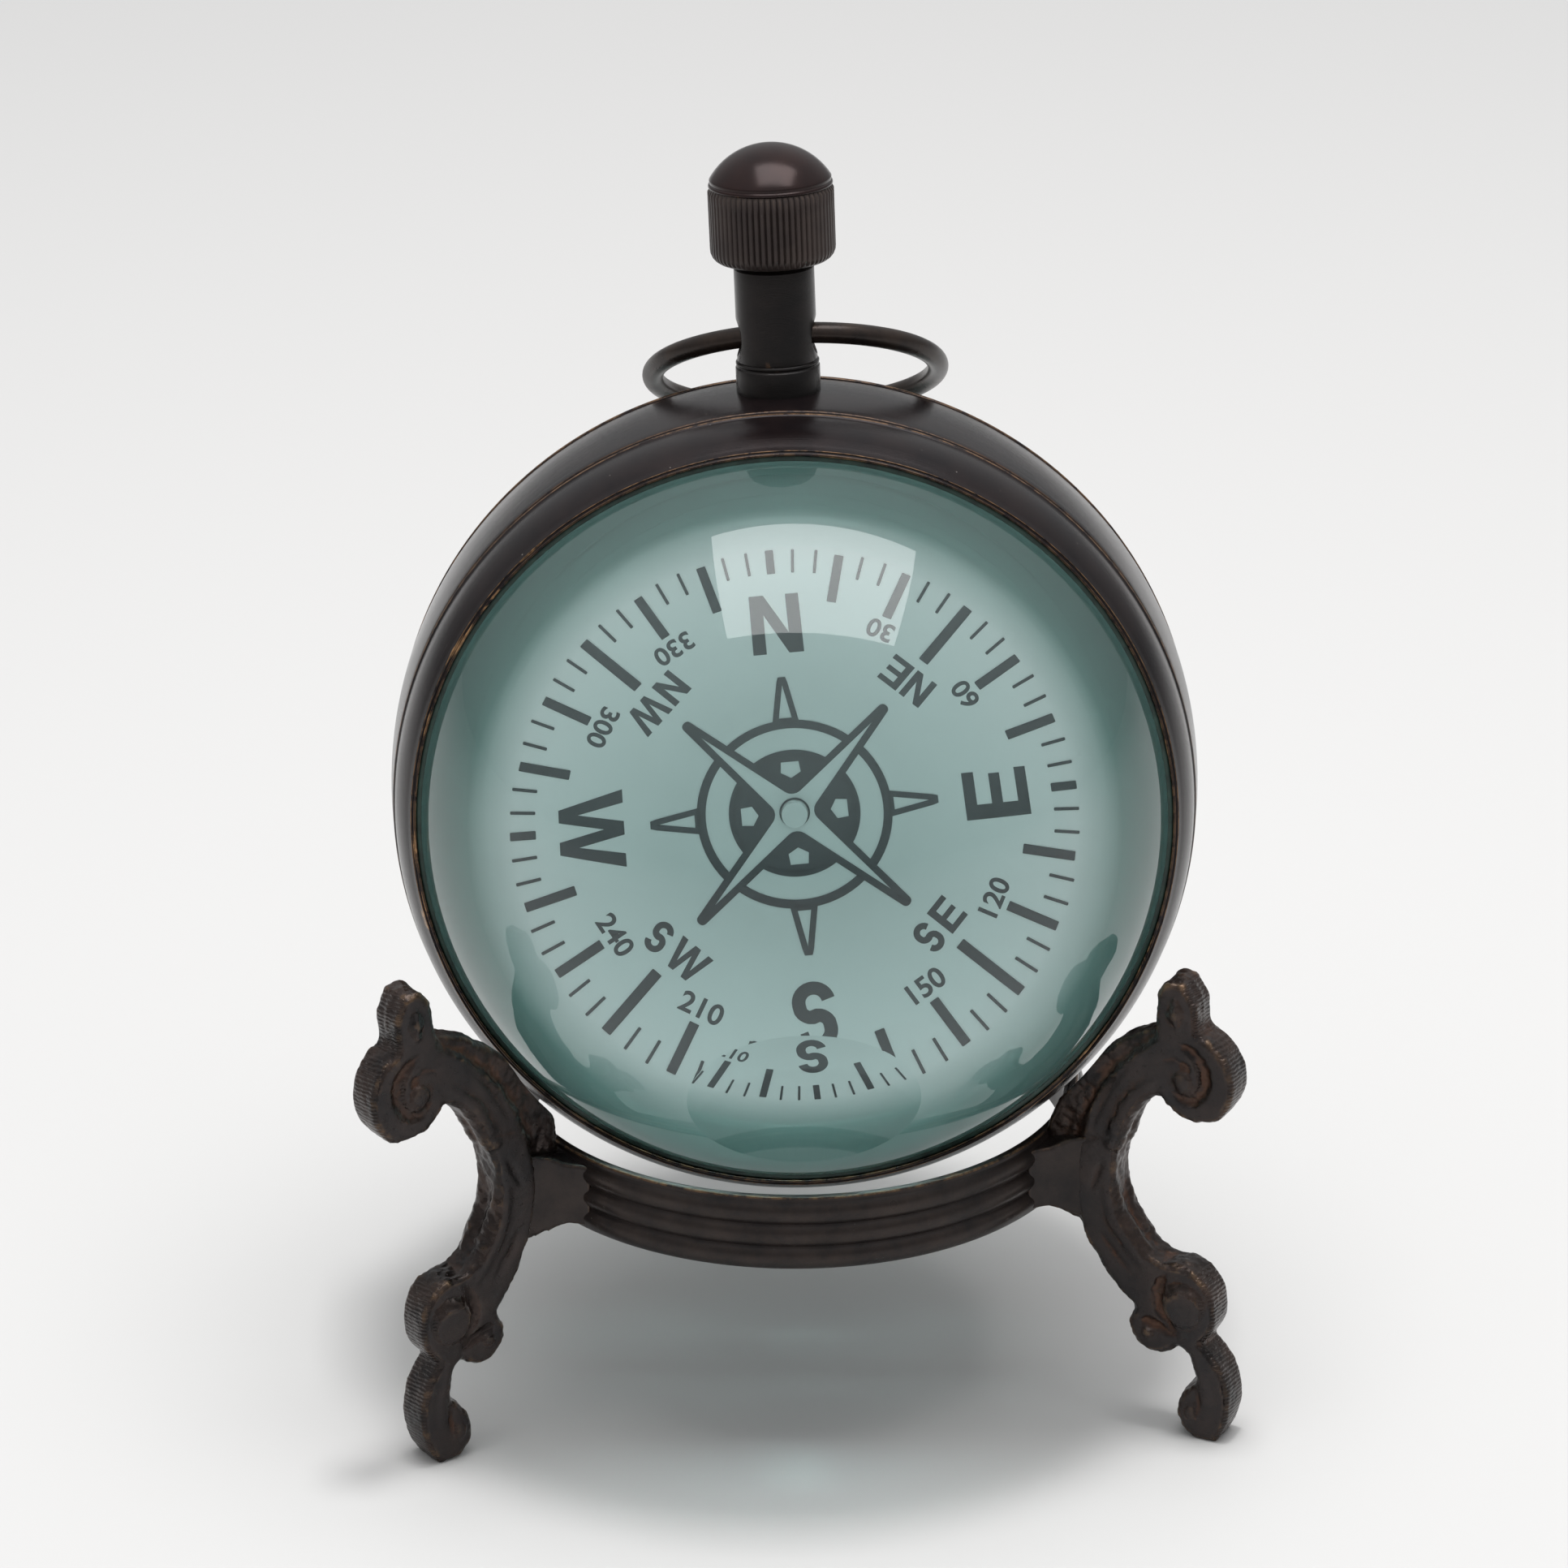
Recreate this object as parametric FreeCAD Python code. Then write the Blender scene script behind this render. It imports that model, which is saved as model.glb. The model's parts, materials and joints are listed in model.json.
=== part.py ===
import FreeCAD, Part
import math
import os

os.makedirs("parts", exist_ok=True)

V = FreeCAD.Vector

# A desk compass: a glass ball held by a brass case like a pocket watch's, with a pendant
# neck, a knurled crown and a bow ring, standing loose in a ring with three scroll legs.
#
# The compass is modelled in its own frame: the ball's centre at the origin, the front of
# the case towards -Y and the neck towards +Z. A distance called "depth" is measured from
# the ball's centre towards the front, so it is positive in front and negative behind.
# settle() then leans and rolls the compass as it sits in the stand.

# ------------------------------------------------------------------ driving dimensions
# millimetres and degrees
BALL_R = 38.1              # a three inch ball of glass
BALL_HEIGHT = 61.0         # ball's centre above the table
LEAN = 7.5                 # the compass leans back
ROLL = 2.25                # and its neck leans a little to the left

FRONT_FLAT = 7.0           # flat back of the front lens, from the ball's centre
REAR_FLAT = 4.5            # flat back of the rear lens
FACET_TILT = 38.5          # polished window on the front lens, below the case's axis
FACET_DISTANCE = 36.4      # from the ball's centre to that window

JOINT_FRONT = 4.4          # where the front bezel meets the case band
JOINT_BACK = 8.0           # where the rear bezel meets it
BAND_FRONT_R = 39.3
BAND_MIDDLE_R = 39.8
BAND_BACK_R = 39.6
BORE_R = 38.55             # threaded ends of the band
FLANGE_R = 37.95           # inside of the band between its threads
FLANGE_FRONT = 0.8
FLANGE_BACK = 4.2
GROOVE_DEPTH = 0.45        # groove at each joint of the case
GROOVE_WIDTH = 0.5
FRONT_TAPER = 5.4          # inside each bezel the bore tapers from here to the seal
REAR_TAPER = 8.2
THREAD_GAP = 0.05
LIP_DEPTH = 12.0           # front face of each bezel
LIP_R = 36.75              # opening of each bezel
LIP_OUTER_R = 37.35
SEAL_R = 37.05             # outside of the soft ring under the bezel's lip
SEAL_DEPTH = 9.6
SEAL_GAP = 0.05
SEAL_SHOW = 0.6            # edge of the soft ring that shows past the lip
STEP_DEPTH = 11.15         # underside of the bezel's lip

BOWL_R = 37.3              # flange of the bowl
BOWL_FLANGE = 1.2          # its thickness
BOWL_INNER_R = 34.2
BOWL_WALL_R = 35.4
BOWL_FLOOR = -1.2
BOWL_BACK = -2.4
DISTANCE_R = 37.6          # ring that holds the lenses apart
DISTANCE_WALL = 1.6
CARD_R = 33.0
CARD_DEPTH = 6.3           # printed face of the card
CARD_THICKNESS = 0.3
CARD_TURN = 3.25           # the card has come to rest a little off the case's upright
TICK_OUTER_R = 20.85
INK = 0.05                 # thickness of the printing
HUB_R = 0.9
HUB_TOP = 6.8
HUB_FLANGE_R = 2.2
HUB_FLANGE = 0.5
JEWEL_R = 0.6
JEWEL_DEPTH = 0.3          # face of the stone below the hub's top
JEWEL_THICKNESS = 0.35
CUP_R = 0.35
CUP_DEPTH = 0.25
PIN_R = 0.3
PIN_FOOT = 3.6
PIN_POINT = 6.33
PIN_TAPER = 0.63
POST_R = 1.2
POST_TOP = 5.2
POST_FOOT_R = 3.0
POST_SHANK_R = 0.95
FLOOR_HOLE_R = 1.0
NUT_R = 2.3
NUT_THICKNESS = 1.2
MAGNET_WIDTH = 2.2
MAGNET_THICKNESS = 1.0
MAGNET_LENGTH = 26.0
MAGNET_OFFSET = 5.0
ROSE_RINGS = (4.35, 6.48)    # middle radii of the rose's two rings
ROSE_LINE = 0.5

NECK_DEPTH = -3.3          # the neck stands on the middle of the band
NECK_R = 3.92
NECK_FOOT = 42.7
NECK_TOP = 52.2
TENON_R = 2.5
TENON_END = 38.75
FERRULE_R = 4.12
HOLE_HEIGHT = 45.05        # cross hole for the bow, above the ball's centre
HOLE_R = 1.95
BOW_R = 14.1
BOW_WIRE_R = 1.065
BOW_SAG = 0.56             # a round ring bows this much inside a straight hole
BOW_SHIFT = 1.6            # the bow has slipped this far to the right in the hole
BOW_REST = 119.0           # the bow has fallen back this far from upright
SPINDLE_R = 1.6
SPINDLE_FOOT = 47.6
SPINDLE_HEAD_R = 2.6
RUNNING_GAP = 0.05
CROWN_R = 6.2
CROWN_FOOT = 52.55
CROWN_SHOULDER = 60.0
CROWN_TOP = 64.1
CROWN_FLUTES = 60
FLUTE_DEPTH = 0.28

RING_R = 29.0
RING_INNER_R = 27.0
RING_BASE = 22.5
RING_TOP = 30.2
RING_BEADS = 3
CORE_HALF = 1.4            # half the thickness of the leg's core plate
RAISED_HALF = 1.8          # of the scroll raised on it
LEG_HALF = 2.3             # and of the scroll's flat faces
LEG_BEVEL = 0.5
LEG_SINK = 0.25            # the feet are filed flat by this much
LEG_CLEAR_R = 40.1         # the legs are dressed back to this ball, to clear the case
LEGS = {                   # name: (direction from the front, lean as brazed on, growth)
    "leg_front_right": (64.0, -3.6, 1.0),
    "leg_front_left": (-55.0, 5.0, 1.05),
    "leg_rear": (184.0, 0.0, 1.0),
}
BRAZE = 2.4                # width of the brazing beside each leg


# ------------------------------------------------------------------ helpers
def outline(start, steps, to_3d):
    """Closed face from a start point and steps. A step is (to) or (via, to) for an arc."""
    edges = []
    here = start
    for step in steps:
        if len(step) == 1:
            edges.append(Part.LineSegment(to_3d(here), to_3d(step[0])).toShape())
        else:
            edges.append(Part.Arc(to_3d(here), to_3d(step[0]), to_3d(step[1])).toShape())
        here = step[-1]
    if here != start:
        edges.append(Part.LineSegment(to_3d(here), to_3d(start)).toShape())
    return Part.Face(Part.Wire(edges))


def case_plane(point):
    """(radius, depth) of the compass, on the plane through its axis."""
    return V(point[0], -point[1], 0)


def upright_plane(point):
    """(radius, height) about a vertical axis."""
    return V(point[0], 0, point[1])


def turned(start, *steps):
    """Solid turned about the compass's axis from a (radius, depth) outline."""
    return outline(start, steps, case_plane).revolve(V(0, 0, 0), V(0, 1, 0), 360)


def spun(start, *steps):
    """Solid turned about the vertical axis from a (radius, height) outline."""
    return outline(start, steps, upright_plane).revolve(V(0, 0, 0), V(0, 0, 1), 360)


def disc(radius, low, high, hole=0.0):
    """Washer or plate about the compass's axis, from depth low to depth high."""
    plate = Part.makeCylinder(radius, high - low, V(0, -low, 0), V(0, -1, 0))
    if hole:
        plate = plate.cut(Part.makeCylinder(hole, high - low + 2, V(0, 1 - low, 0), V(0, -1, 0)))
    return plate


def on_neck(shape):
    """Move a shape made about the vertical axis onto the neck's axis."""
    moved = shape.copy()
    moved.translate(V(0, -NECK_DEPTH, 0))
    return moved


def settle(shape):
    """Place a shape of the compass as the compass sits in its stand."""
    placed = shape.copy()
    placed.rotate(V(0, 0, 0), V(0, 1, 0), -ROLL)
    placed.rotate(V(0, 0, 0), V(1, 0, 0), -LEAN)
    placed.translate(V(0, 0, BALL_HEIGHT))
    return placed


def mirrored(shape):
    """The same turned piece, facing backwards."""
    return shape.mirror(V(0, 0, 0), V(0, 1, 0))


def glass_r(depth):
    """Radius of the ball at a depth."""
    return math.sqrt(BALL_R ** 2 - depth ** 2)


# ------------------------------------------------------------------ case
def band_outer(inner_r):
    """The band between the two bezels, slightly barrelled."""
    return turned(
        (BAND_FRONT_R, JOINT_FRONT),
        ((BAND_MIDDLE_R, (JOINT_FRONT - JOINT_BACK) / 2), (BAND_BACK_R, -JOINT_BACK)),
        ((inner_r, -JOINT_BACK),),
        ((inner_r, JOINT_FRONT),),
    )


def make_case_band():
    band = band_outer(FLANGE_R)
    band = band.cut(disc(BORE_R, FLANGE_FRONT, JOINT_FRONT + 1))
    return band.cut(disc(BORE_R, -JOINT_BACK - 1, -FLANGE_BACK))


def make_bezel(joint, joint_r, skirt_end, taper):
    """Turned bezel facing the front, with a threaded skirt that goes into the band."""
    skirt_r = BORE_R - THREAD_GAP
    groove_r = joint_r - GROOVE_DEPTH
    shoulder = joint + GROOVE_WIDTH
    belly = ((joint_r + LIP_OUTER_R) / 2 + 0.35, (shoulder + LIP_DEPTH) / 2)
    return turned(
        (FLANGE_R, skirt_end),
        ((skirt_r, skirt_end),),
        ((skirt_r, joint),),
        ((groove_r, joint),),
        ((groove_r, shoulder),),
        ((joint_r - 0.1, shoulder),),
        (belly, (LIP_OUTER_R, LIP_DEPTH - 0.5)),
        ((LIP_OUTER_R - 0.1, LIP_DEPTH - 0.1), (LIP_OUTER_R - 0.3, LIP_DEPTH)),
        ((LIP_R, LIP_DEPTH - 0.15),),
        ((LIP_R, STEP_DEPTH),),
        ((SEAL_R, STEP_DEPTH),),
        ((SEAL_R, SEAL_DEPTH),),
        ((FLANGE_R, taper),),
    )


def make_seal():
    """Soft ring between the bezel's lip and the glass, with its edge showing."""
    show = STEP_DEPTH + SEAL_SHOW
    return turned(
        (glass_r(SEAL_DEPTH) + SEAL_GAP, SEAL_DEPTH),
        ((SEAL_R - 0.02, SEAL_DEPTH),),
        ((SEAL_R - 0.02, STEP_DEPTH - 0.02),),
        ((LIP_R - 0.03, STEP_DEPTH - 0.02),),
        ((LIP_R - 0.03, show),),
        ((glass_r(show) + SEAL_GAP, show),),
    )


def make_lens(flat):
    """Solid glass dome: the front of the ball, with a flat back."""
    middle = BALL_R * math.sqrt(0.5)
    return turned(
        (0, flat),
        ((glass_r(flat), flat),),
        ((middle, middle), (0, BALL_R)),
    )


def make_front_lens():
    tilt = math.radians(FACET_TILT)
    normal = V(0, -math.cos(tilt), -math.sin(tilt))
    waste = Part.makeCylinder(BALL_R, BALL_R, normal * FACET_DISTANCE, normal)
    return make_lens(FRONT_FLAT).cut(waste)


# ------------------------------------------------------------------ inside the case
def make_bowl():
    """Spun bowl that holds the card, hung by its flange behind the front lens."""
    flange_back = FRONT_FLAT - BOWL_FLANGE
    return turned(
        (FLOOR_HOLE_R, BOWL_BACK),
        ((BOWL_WALL_R, BOWL_BACK),),
        ((BOWL_WALL_R, flange_back),),
        ((BOWL_R, flange_back),),
        ((BOWL_R, FRONT_FLAT),),
        ((BOWL_INNER_R, FRONT_FLAT),),
        ((BOWL_INNER_R, BOWL_FLOOR),),
        ((FLOOR_HOLE_R, BOWL_FLOOR),),
    )


def make_distance_ring():
    """Ring between the bowl's flange and the rear lens."""
    return disc(DISTANCE_R, -REAR_FLAT, FRONT_FLAT - BOWL_FLANGE, DISTANCE_R - DISTANCE_WALL)


def make_pivot_post():
    """Turned post, with a shank through the bowl's floor and a blind hole for the pin."""
    shank_end = BOWL_BACK - NUT_THICKNESS - 0.4
    post = turned(
        (0, shank_end),
        ((POST_SHANK_R, shank_end),),
        ((POST_SHANK_R, BOWL_FLOOR),),
        ((POST_FOOT_R, BOWL_FLOOR),),
        ((POST_FOOT_R, BOWL_FLOOR + 0.6),),
        ((POST_R, BOWL_FLOOR + 0.9),),
        ((POST_R, POST_TOP - 0.4),),
        ((POST_R - 0.5, POST_TOP),),
        ((0, POST_TOP),),
    )
    return post.cut(disc(PIN_R, PIN_FOOT, POST_TOP + 1))


def make_pivot_nut():
    corners = []
    for i in range(7):
        angle = math.radians(60 * i)
        corners.append(V(NUT_R * math.cos(angle), -BOWL_BACK, NUT_R * math.sin(angle)))
    nut = Part.Face(Part.makePolygon(corners)).extrude(V(0, NUT_THICKNESS, 0))
    return nut.cut(disc(FLOOR_HOLE_R, BOWL_BACK - NUT_THICKNESS - 1, BOWL_BACK + 1))


def make_pivot_pin():
    """Hard steel pin, ground to a point."""
    return turned(
        (0, PIN_FOOT),
        ((PIN_R, PIN_FOOT),),
        ((PIN_R, PIN_POINT - PIN_TAPER),),
        ((0.03, PIN_POINT),),
        ((0, PIN_POINT),),
    )


def make_card():
    return disc(CARD_R, CARD_DEPTH - CARD_THICKNESS, CARD_DEPTH, HUB_R)


def make_hub():
    """Brass bush: a flange under the card and a small boss above it."""
    back = CARD_DEPTH - CARD_THICKNESS
    flange = disc(HUB_FLANGE_R, back - HUB_FLANGE, back)
    hub = flange.fuse(disc(HUB_R, back - HUB_FLANGE, HUB_TOP)).removeSplitter()
    return hub.cut(disc(JEWEL_R, back - HUB_FLANGE - 1, HUB_TOP - JEWEL_DEPTH))


def make_jewel():
    """Cup stone that turns on the point of the pin."""
    front = HUB_TOP - JEWEL_DEPTH
    back = front - JEWEL_THICKNESS
    return turned(
        (CUP_R, back),
        ((JEWEL_R, back),),
        ((JEWEL_R, front),),
        ((0, front),),
        ((0, back + CUP_DEPTH),),
    )


def make_magnets():
    """Two bar magnets side by side under the card, along its north and south."""
    corner = V(-MAGNET_WIDTH / 2, CARD_THICKNESS - CARD_DEPTH, -MAGNET_LENGTH / 2)
    bar = Part.makeBox(MAGNET_WIDTH, MAGNET_THICKNESS, MAGNET_LENGTH, corner)
    return Part.makeCompound([bar.translated(V(side * MAGNET_OFFSET, 0, 0)) for side in (-1, 1)])


def tick_size(angle):
    """(length, width) of the mark printed at an angle of the card."""
    if angle % 90 == 0:
        return 2.15, 0.62
    if angle % 45 == 0:
        return 5.95, 0.78
    if angle % 15 == 0:
        return 4.2, 0.70
    return 2.1, 0.22


def make_print():
    """The printed scale: a mark every five degrees, and the two rings of the rose."""
    marks = []
    for angle in range(0, 360, 5):
        length, width = tick_size(angle)
        mark = Part.makeBox(width, INK, length,
                            V(-width / 2, -CARD_DEPTH - INK, TICK_OUTER_R - length))
        mark.rotate(V(0, 0, 0), V(0, 1, 0), angle)
        marks.append(mark)
    for radius in ROSE_RINGS:
        outer_r = radius + ROSE_LINE / 2
        marks.append(disc(outer_r, CARD_DEPTH, CARD_DEPTH + INK, outer_r - ROSE_LINE))
    return Part.makeCompound(marks)


# ------------------------------------------------------------------ neck, crown and bow
def make_neck():
    """Solid pendant neck with a tenon below, a cross hole and a blind hole on top."""
    neck = spun(
        (0, TENON_END),
        ((TENON_R, TENON_END),),
        ((TENON_R, NECK_FOOT),),
        ((NECK_R, NECK_FOOT),),
        ((NECK_R, NECK_TOP - 0.3),),
        ((NECK_R - 0.3, NECK_TOP),),
        ((0, NECK_TOP),),
    )
    neck = neck.cut(Part.makeCylinder(SPINDLE_R, 10, V(0, 0, SPINDLE_FOOT), V(0, 0, 1)))
    neck = neck.cut(Part.makeCylinder(HOLE_R, 20, V(-10, 0, HOLE_HEIGHT), V(1, 0, 0)))
    return on_neck(neck)


def make_ferrule():
    """Collar at the neck's foot, fitted to the curve of the band."""
    collar = spun(
        (TENON_R, TENON_END - 3),
        ((FERRULE_R, TENON_END - 3),),
        ((FERRULE_R, NECK_FOOT - 0.5),),
        ((FERRULE_R - 0.15, NECK_FOOT - 0.15), (FERRULE_R - 0.5, NECK_FOOT)),
        ((TENON_R, NECK_FOOT),),
    )
    return on_neck(collar).cut(band_outer(0.01))


def make_spindle():
    """Headed pin on which the crown turns."""
    head_back = CROWN_SHOULDER - 0.4
    return on_neck(spun(
        (0, SPINDLE_FOOT),
        ((SPINDLE_R, SPINDLE_FOOT),),
        ((SPINDLE_R, head_back),),
        ((SPINDLE_HEAD_R, head_back),),
        ((SPINDLE_HEAD_R, head_back + 1.1),),
        ((0, head_back + 1.1),),
    ))


def fluted_bar(radius, low, high, count, depth):
    """Upright bar with vee flutes all round."""
    corners = []
    for i in range(2 * count + 1):
        angle = math.pi * i / count
        reach = radius - depth * (i % 2)
        corners.append(V(reach * math.cos(angle), reach * math.sin(angle), low))
    return Part.Face(Part.makePolygon(corners)).extrude(V(0, 0, high - low))


def make_crown():
    """Straight-knurled sleeve with a rounded lower edge."""
    shape = spun(
        (0, CROWN_FOOT),
        ((CROWN_R - 1.3, CROWN_FOOT),),
        ((CROWN_R - 0.35, CROWN_FOOT + 0.4), (CROWN_R + 0.1, CROWN_FOOT + 1.4)),
        ((CROWN_R + 0.1, CROWN_SHOULDER - 0.3),),
        ((CROWN_R - 0.3, CROWN_SHOULDER),),
        ((0, CROWN_SHOULDER),),
    )
    sleeve = fluted_bar(CROWN_R, CROWN_FOOT - 1, CROWN_SHOULDER + 1, CROWN_FLUTES, FLUTE_DEPTH)
    sleeve = sleeve.common(shape)
    sleeve = sleeve.cut(Part.makeCylinder(SPINDLE_R + RUNNING_GAP, 20, V(0, 0, CROWN_FOOT - 5)))
    counterbore = Part.makeCylinder(SPINDLE_HEAD_R + 0.3, 5, V(0, 0, CROWN_SHOULDER - 0.5))
    return on_neck(sleeve.cut(counterbore))


def make_crown_cap():
    """Polished dome soldered on the crown."""
    inner_r = SPINDLE_HEAD_R + 0.3
    rim_r = CROWN_R - 0.25
    rise = CROWN_TOP - CROWN_SHOULDER - 0.5
    dome_r = (rim_r ** 2 + rise ** 2) / (2 * rise)
    centre = CROWN_TOP - dome_r
    half_way = math.asin(rim_r / dome_r) / 2
    return on_neck(spun(
        (inner_r, CROWN_SHOULDER),
        ((rim_r, CROWN_SHOULDER),),
        ((rim_r, CROWN_SHOULDER + 0.5),),
        ((dome_r * math.sin(half_way), centre + dome_r * math.cos(half_way)), (0, CROWN_TOP)),
        ((0, CROWN_SHOULDER + 1.2),),
        ((inner_r, CROWN_SHOULDER + 1.2),),
    ))


def make_bow():
    """Closed round ring of wire through the neck's cross hole, lying back."""
    rest = math.radians(BOW_REST)
    along = V(0, math.sin(rest), math.cos(rest))
    centre = V(BOW_SHIFT, 0, HOLE_HEIGHT) + along * (BOW_R - BOW_SAG)
    return on_neck(Part.makeTorus(BOW_R, BOW_WIRE_R, centre, V(1, 0, 0).cross(along)))


# ------------------------------------------------------------------ stand
def make_ring():
    """Ring of three beads, bevelled inside its top edge where the compass rests."""
    bead = (RING_TOP - 0.5 - RING_BASE) / RING_BEADS
    steps = [((RING_R - 0.45, RING_BASE),)]
    for i in range(RING_BEADS):
        low = RING_BASE + i * bead
        steps.append(((RING_R, low + bead / 2), (RING_R - 0.45, low + bead)))
    return spun(
        (RING_INNER_R + 0.2, RING_BASE),
        *steps,
        ((RING_R - 0.7, RING_TOP),),
        ((RING_INNER_R + 0.5, RING_TOP),),
        ((RING_INNER_R, RING_TOP - 0.8),),
        ((RING_INNER_R, RING_BASE + 0.2),),
    )


# The leg in its own plane: (distance from the stand's axis, height).
LEG_START = (41.3, 45.2)
LEG_OUTER = [
    ((41.6, 48.3),),                        # bud on top
    ((42.7, 49.9),),
    ((44.6, 49.6),),
    ((45.8, 47.4),),
    ((45.8, 44.3),),
    ((49.4, 39.8), (47.6, 35.4)),           # upper scroll
    ((44.8, 35.0), (41.3, 37.5)),
    ((37.8, 33.5), (36.3, 27.6)),           # outside of the arm
    ((36.9, 23.4), (41.0, 19.0)),
    ((44.7, 18.2), (46.4, 15.0)),           # knee
    ((46.2, 12.6), (44.8, 10.7)),
    ((47.6, 4.8), (46.0, 0.0)),             # shin
    ((43.4, 0.0),),                         # foot
    ((41.8, 3.2), (43.9, 6.2)),
    ((43.8, 8.3), (42.2, 10.2)),
    ((38.0, 9.6), (37.8, 13.7)),            # spur
]
SCROLL_INNER = [
    ((33.4, 19.4), (31.5, 25.4)),           # the raised scroll stops short of the ring
    ((32.7, 32.4), (36.0, 38.9)),
    ((38.4, 41.4), (41.2, 43.6)),
]
CORE_INNER = [
    ((34.4, 17.7), (31.8, 22.0)),           # the core plate reaches the ring
    ((28.0, 23.2),),
    ((28.0, 31.6),),
    ((31.4, 37.0), (36.0, 41.6)),
    ((38.4, 43.3), (41.1, 44.2)),
]


def leg_outline(inner, growth):
    """Face of one scroll leg, grown upwards a little as no two castings are the same."""
    steps = LEG_OUTER + inner
    grown = [tuple((r, z * growth) for r, z in step) for step in steps]
    return outline((LEG_START[0], LEG_START[1] * growth), grown, upright_plane)


def plate(face, half):
    """Plate as thick as twice half, centred on the leg's plane."""
    slab = face.extrude(V(0, 2 * half, 0))
    slab.translate(V(0, -half, 0))
    return slab


def make_leg(direction, lean, growth, ring):
    """Cast leg: a core plate with a raised scroll on both sides, fitted to the ring."""
    scroll = leg_outline(SCROLL_INNER, growth)
    leg = plate(leg_outline(CORE_INNER, growth), CORE_HALF)
    leg = leg.fuse([plate(scroll, RAISED_HALF), plate(scroll.makeOffset2D(-LEG_BEVEL), LEG_HALF)])
    leg = leg.removeSplitter()
    leg.rotate(V(RING_R, 0, RING_BASE), V(0, 1, 0), lean)
    leg.translate(V(0, 0, -leg.BoundBox.ZMin - LEG_SINK))
    leg = leg.cut(Part.makeBox(200, 200, 20, V(-100, -100, -20)))
    leg = leg.cut(Part.makeSphere(LEG_CLEAR_R, V(0, 0, BALL_HEIGHT)))
    leg.rotate(V(0, 0, 0), V(0, 0, 1), direction - 90)
    core = Part.makeCylinder(RING_R - 1, 60, V(0, 0, 0))
    return leg.cut(core).cut(ring)


def make_braze(direction, ring, leg):
    """Fillets of brazing metal in the corners between one leg and the ring."""
    beads = []
    for side in (-1, 1):
        near = side * (CORE_HALF - 0.6)
        corners = [
            V(RING_R - 1.4, near, 0),
            V(RING_R + BRAZE, near, 0),
            V(RING_R + BRAZE, side * (CORE_HALF + 0.4), 0),
            V(RING_R - 1.0, side * (CORE_HALF + BRAZE + 1.0), 0),
            V(RING_R - 1.4, near, 0),
        ]
        bead = Part.Face(Part.makePolygon(corners)).extrude(V(0, 0, RING_TOP - RING_BASE - 1.2))
        bead.translate(V(0, 0, RING_BASE + 0.6))
        bead.rotate(V(0, 0, 0), V(0, 0, 1), direction - 90)
        bead = bead.cut(ring).cut(leg)
        beads.append(max(bead.Solids, key=lambda solid: solid.Volume))
    return beads


# ------------------------------------------------------------------ assembly
nodes = {}

ring = make_ring()
nodes["stand_ring"] = ring
braze = []
for name, (direction, lean, growth) in LEGS.items():
    nodes[name] = make_leg(direction, lean, growth, ring)
    braze += make_braze(direction, ring, nodes[name])
nodes["leg_brazing"] = Part.makeCompound(braze)

neck = make_neck()
compass = {
    "case_band": make_case_band().cut(neck),
    "front_bezel": make_bezel(JOINT_FRONT, BAND_FRONT_R, FLANGE_FRONT, FRONT_TAPER),
    "rear_bezel": mirrored(make_bezel(JOINT_BACK, BAND_BACK_R, FLANGE_BACK, REAR_TAPER)),
    "front_lens": make_front_lens(),
    "rear_lens": mirrored(make_lens(REAR_FLAT)),
    "front_lens_seal": make_seal(),
    "rear_lens_seal": mirrored(make_seal()),
    "card_bowl": make_bowl(),
    "distance_ring": make_distance_ring(),
    "pivot_post": make_pivot_post(),
    "pivot_nut": make_pivot_nut(),
    "pivot_pin": make_pivot_pin(),
    "pendant_ferrule": make_ferrule(),
    "pendant_neck": neck,
    "crown_spindle": make_spindle(),
    "crown": make_crown(),
    "crown_cap": make_crown_cap(),
    "bow_ring": make_bow(),
}
card = {
    "compass_card": make_card(),
    "card_print": make_print(),
    "card_hub": make_hub(),
    "hub_jewel": make_jewel(),
    "card_magnets": make_magnets(),
}
for name, shape in card.items():
    turned_card = shape.copy()
    turned_card.rotate(V(0, 0, 0), V(0, 1, 0), -CARD_TURN)
    compass[name] = turned_card
for name, shape in compass.items():
    nodes[name] = settle(shape)

# The origin is on the table, under the middle of the whole object.
whole = Part.makeCompound(list(nodes.values())).BoundBox
shift = V(-whole.Center.x, -whole.Center.y, 0)
for name, shape in nodes.items():
    shape.translate(shift)
    shape.exportStep("parts/" + name + ".step")
    print(name, len(shape.Solids), round(shape.Volume, 1), shape.isValid())

print("origin moved by", round(shift.x, 4), round(shift.y, 4))
print("size", [round(v, 2) for v in (whole.XLength, whole.YLength, whole.ZLength)])
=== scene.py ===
# %% [markdown]
# # A desk compass in a glass ball
#
# The object is a small compass of the kind that stands on a captain's desk. A solid glass
# ball is held by a dark brass case like a pocket watch's, with a neck, a knurled crown and
# a wire bow, and it rests loose in a ring with three scroll legs. This notebook dresses a
# finished engineering model: the model is loaded as a fixed frame, and each visible piece
# is modelled again where it needs a finer shape, or gets a better finish where it stands.

# %% Load the frame
import json
import math

import bmesh
import bpy
from mathutils import Matrix, Vector


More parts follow.
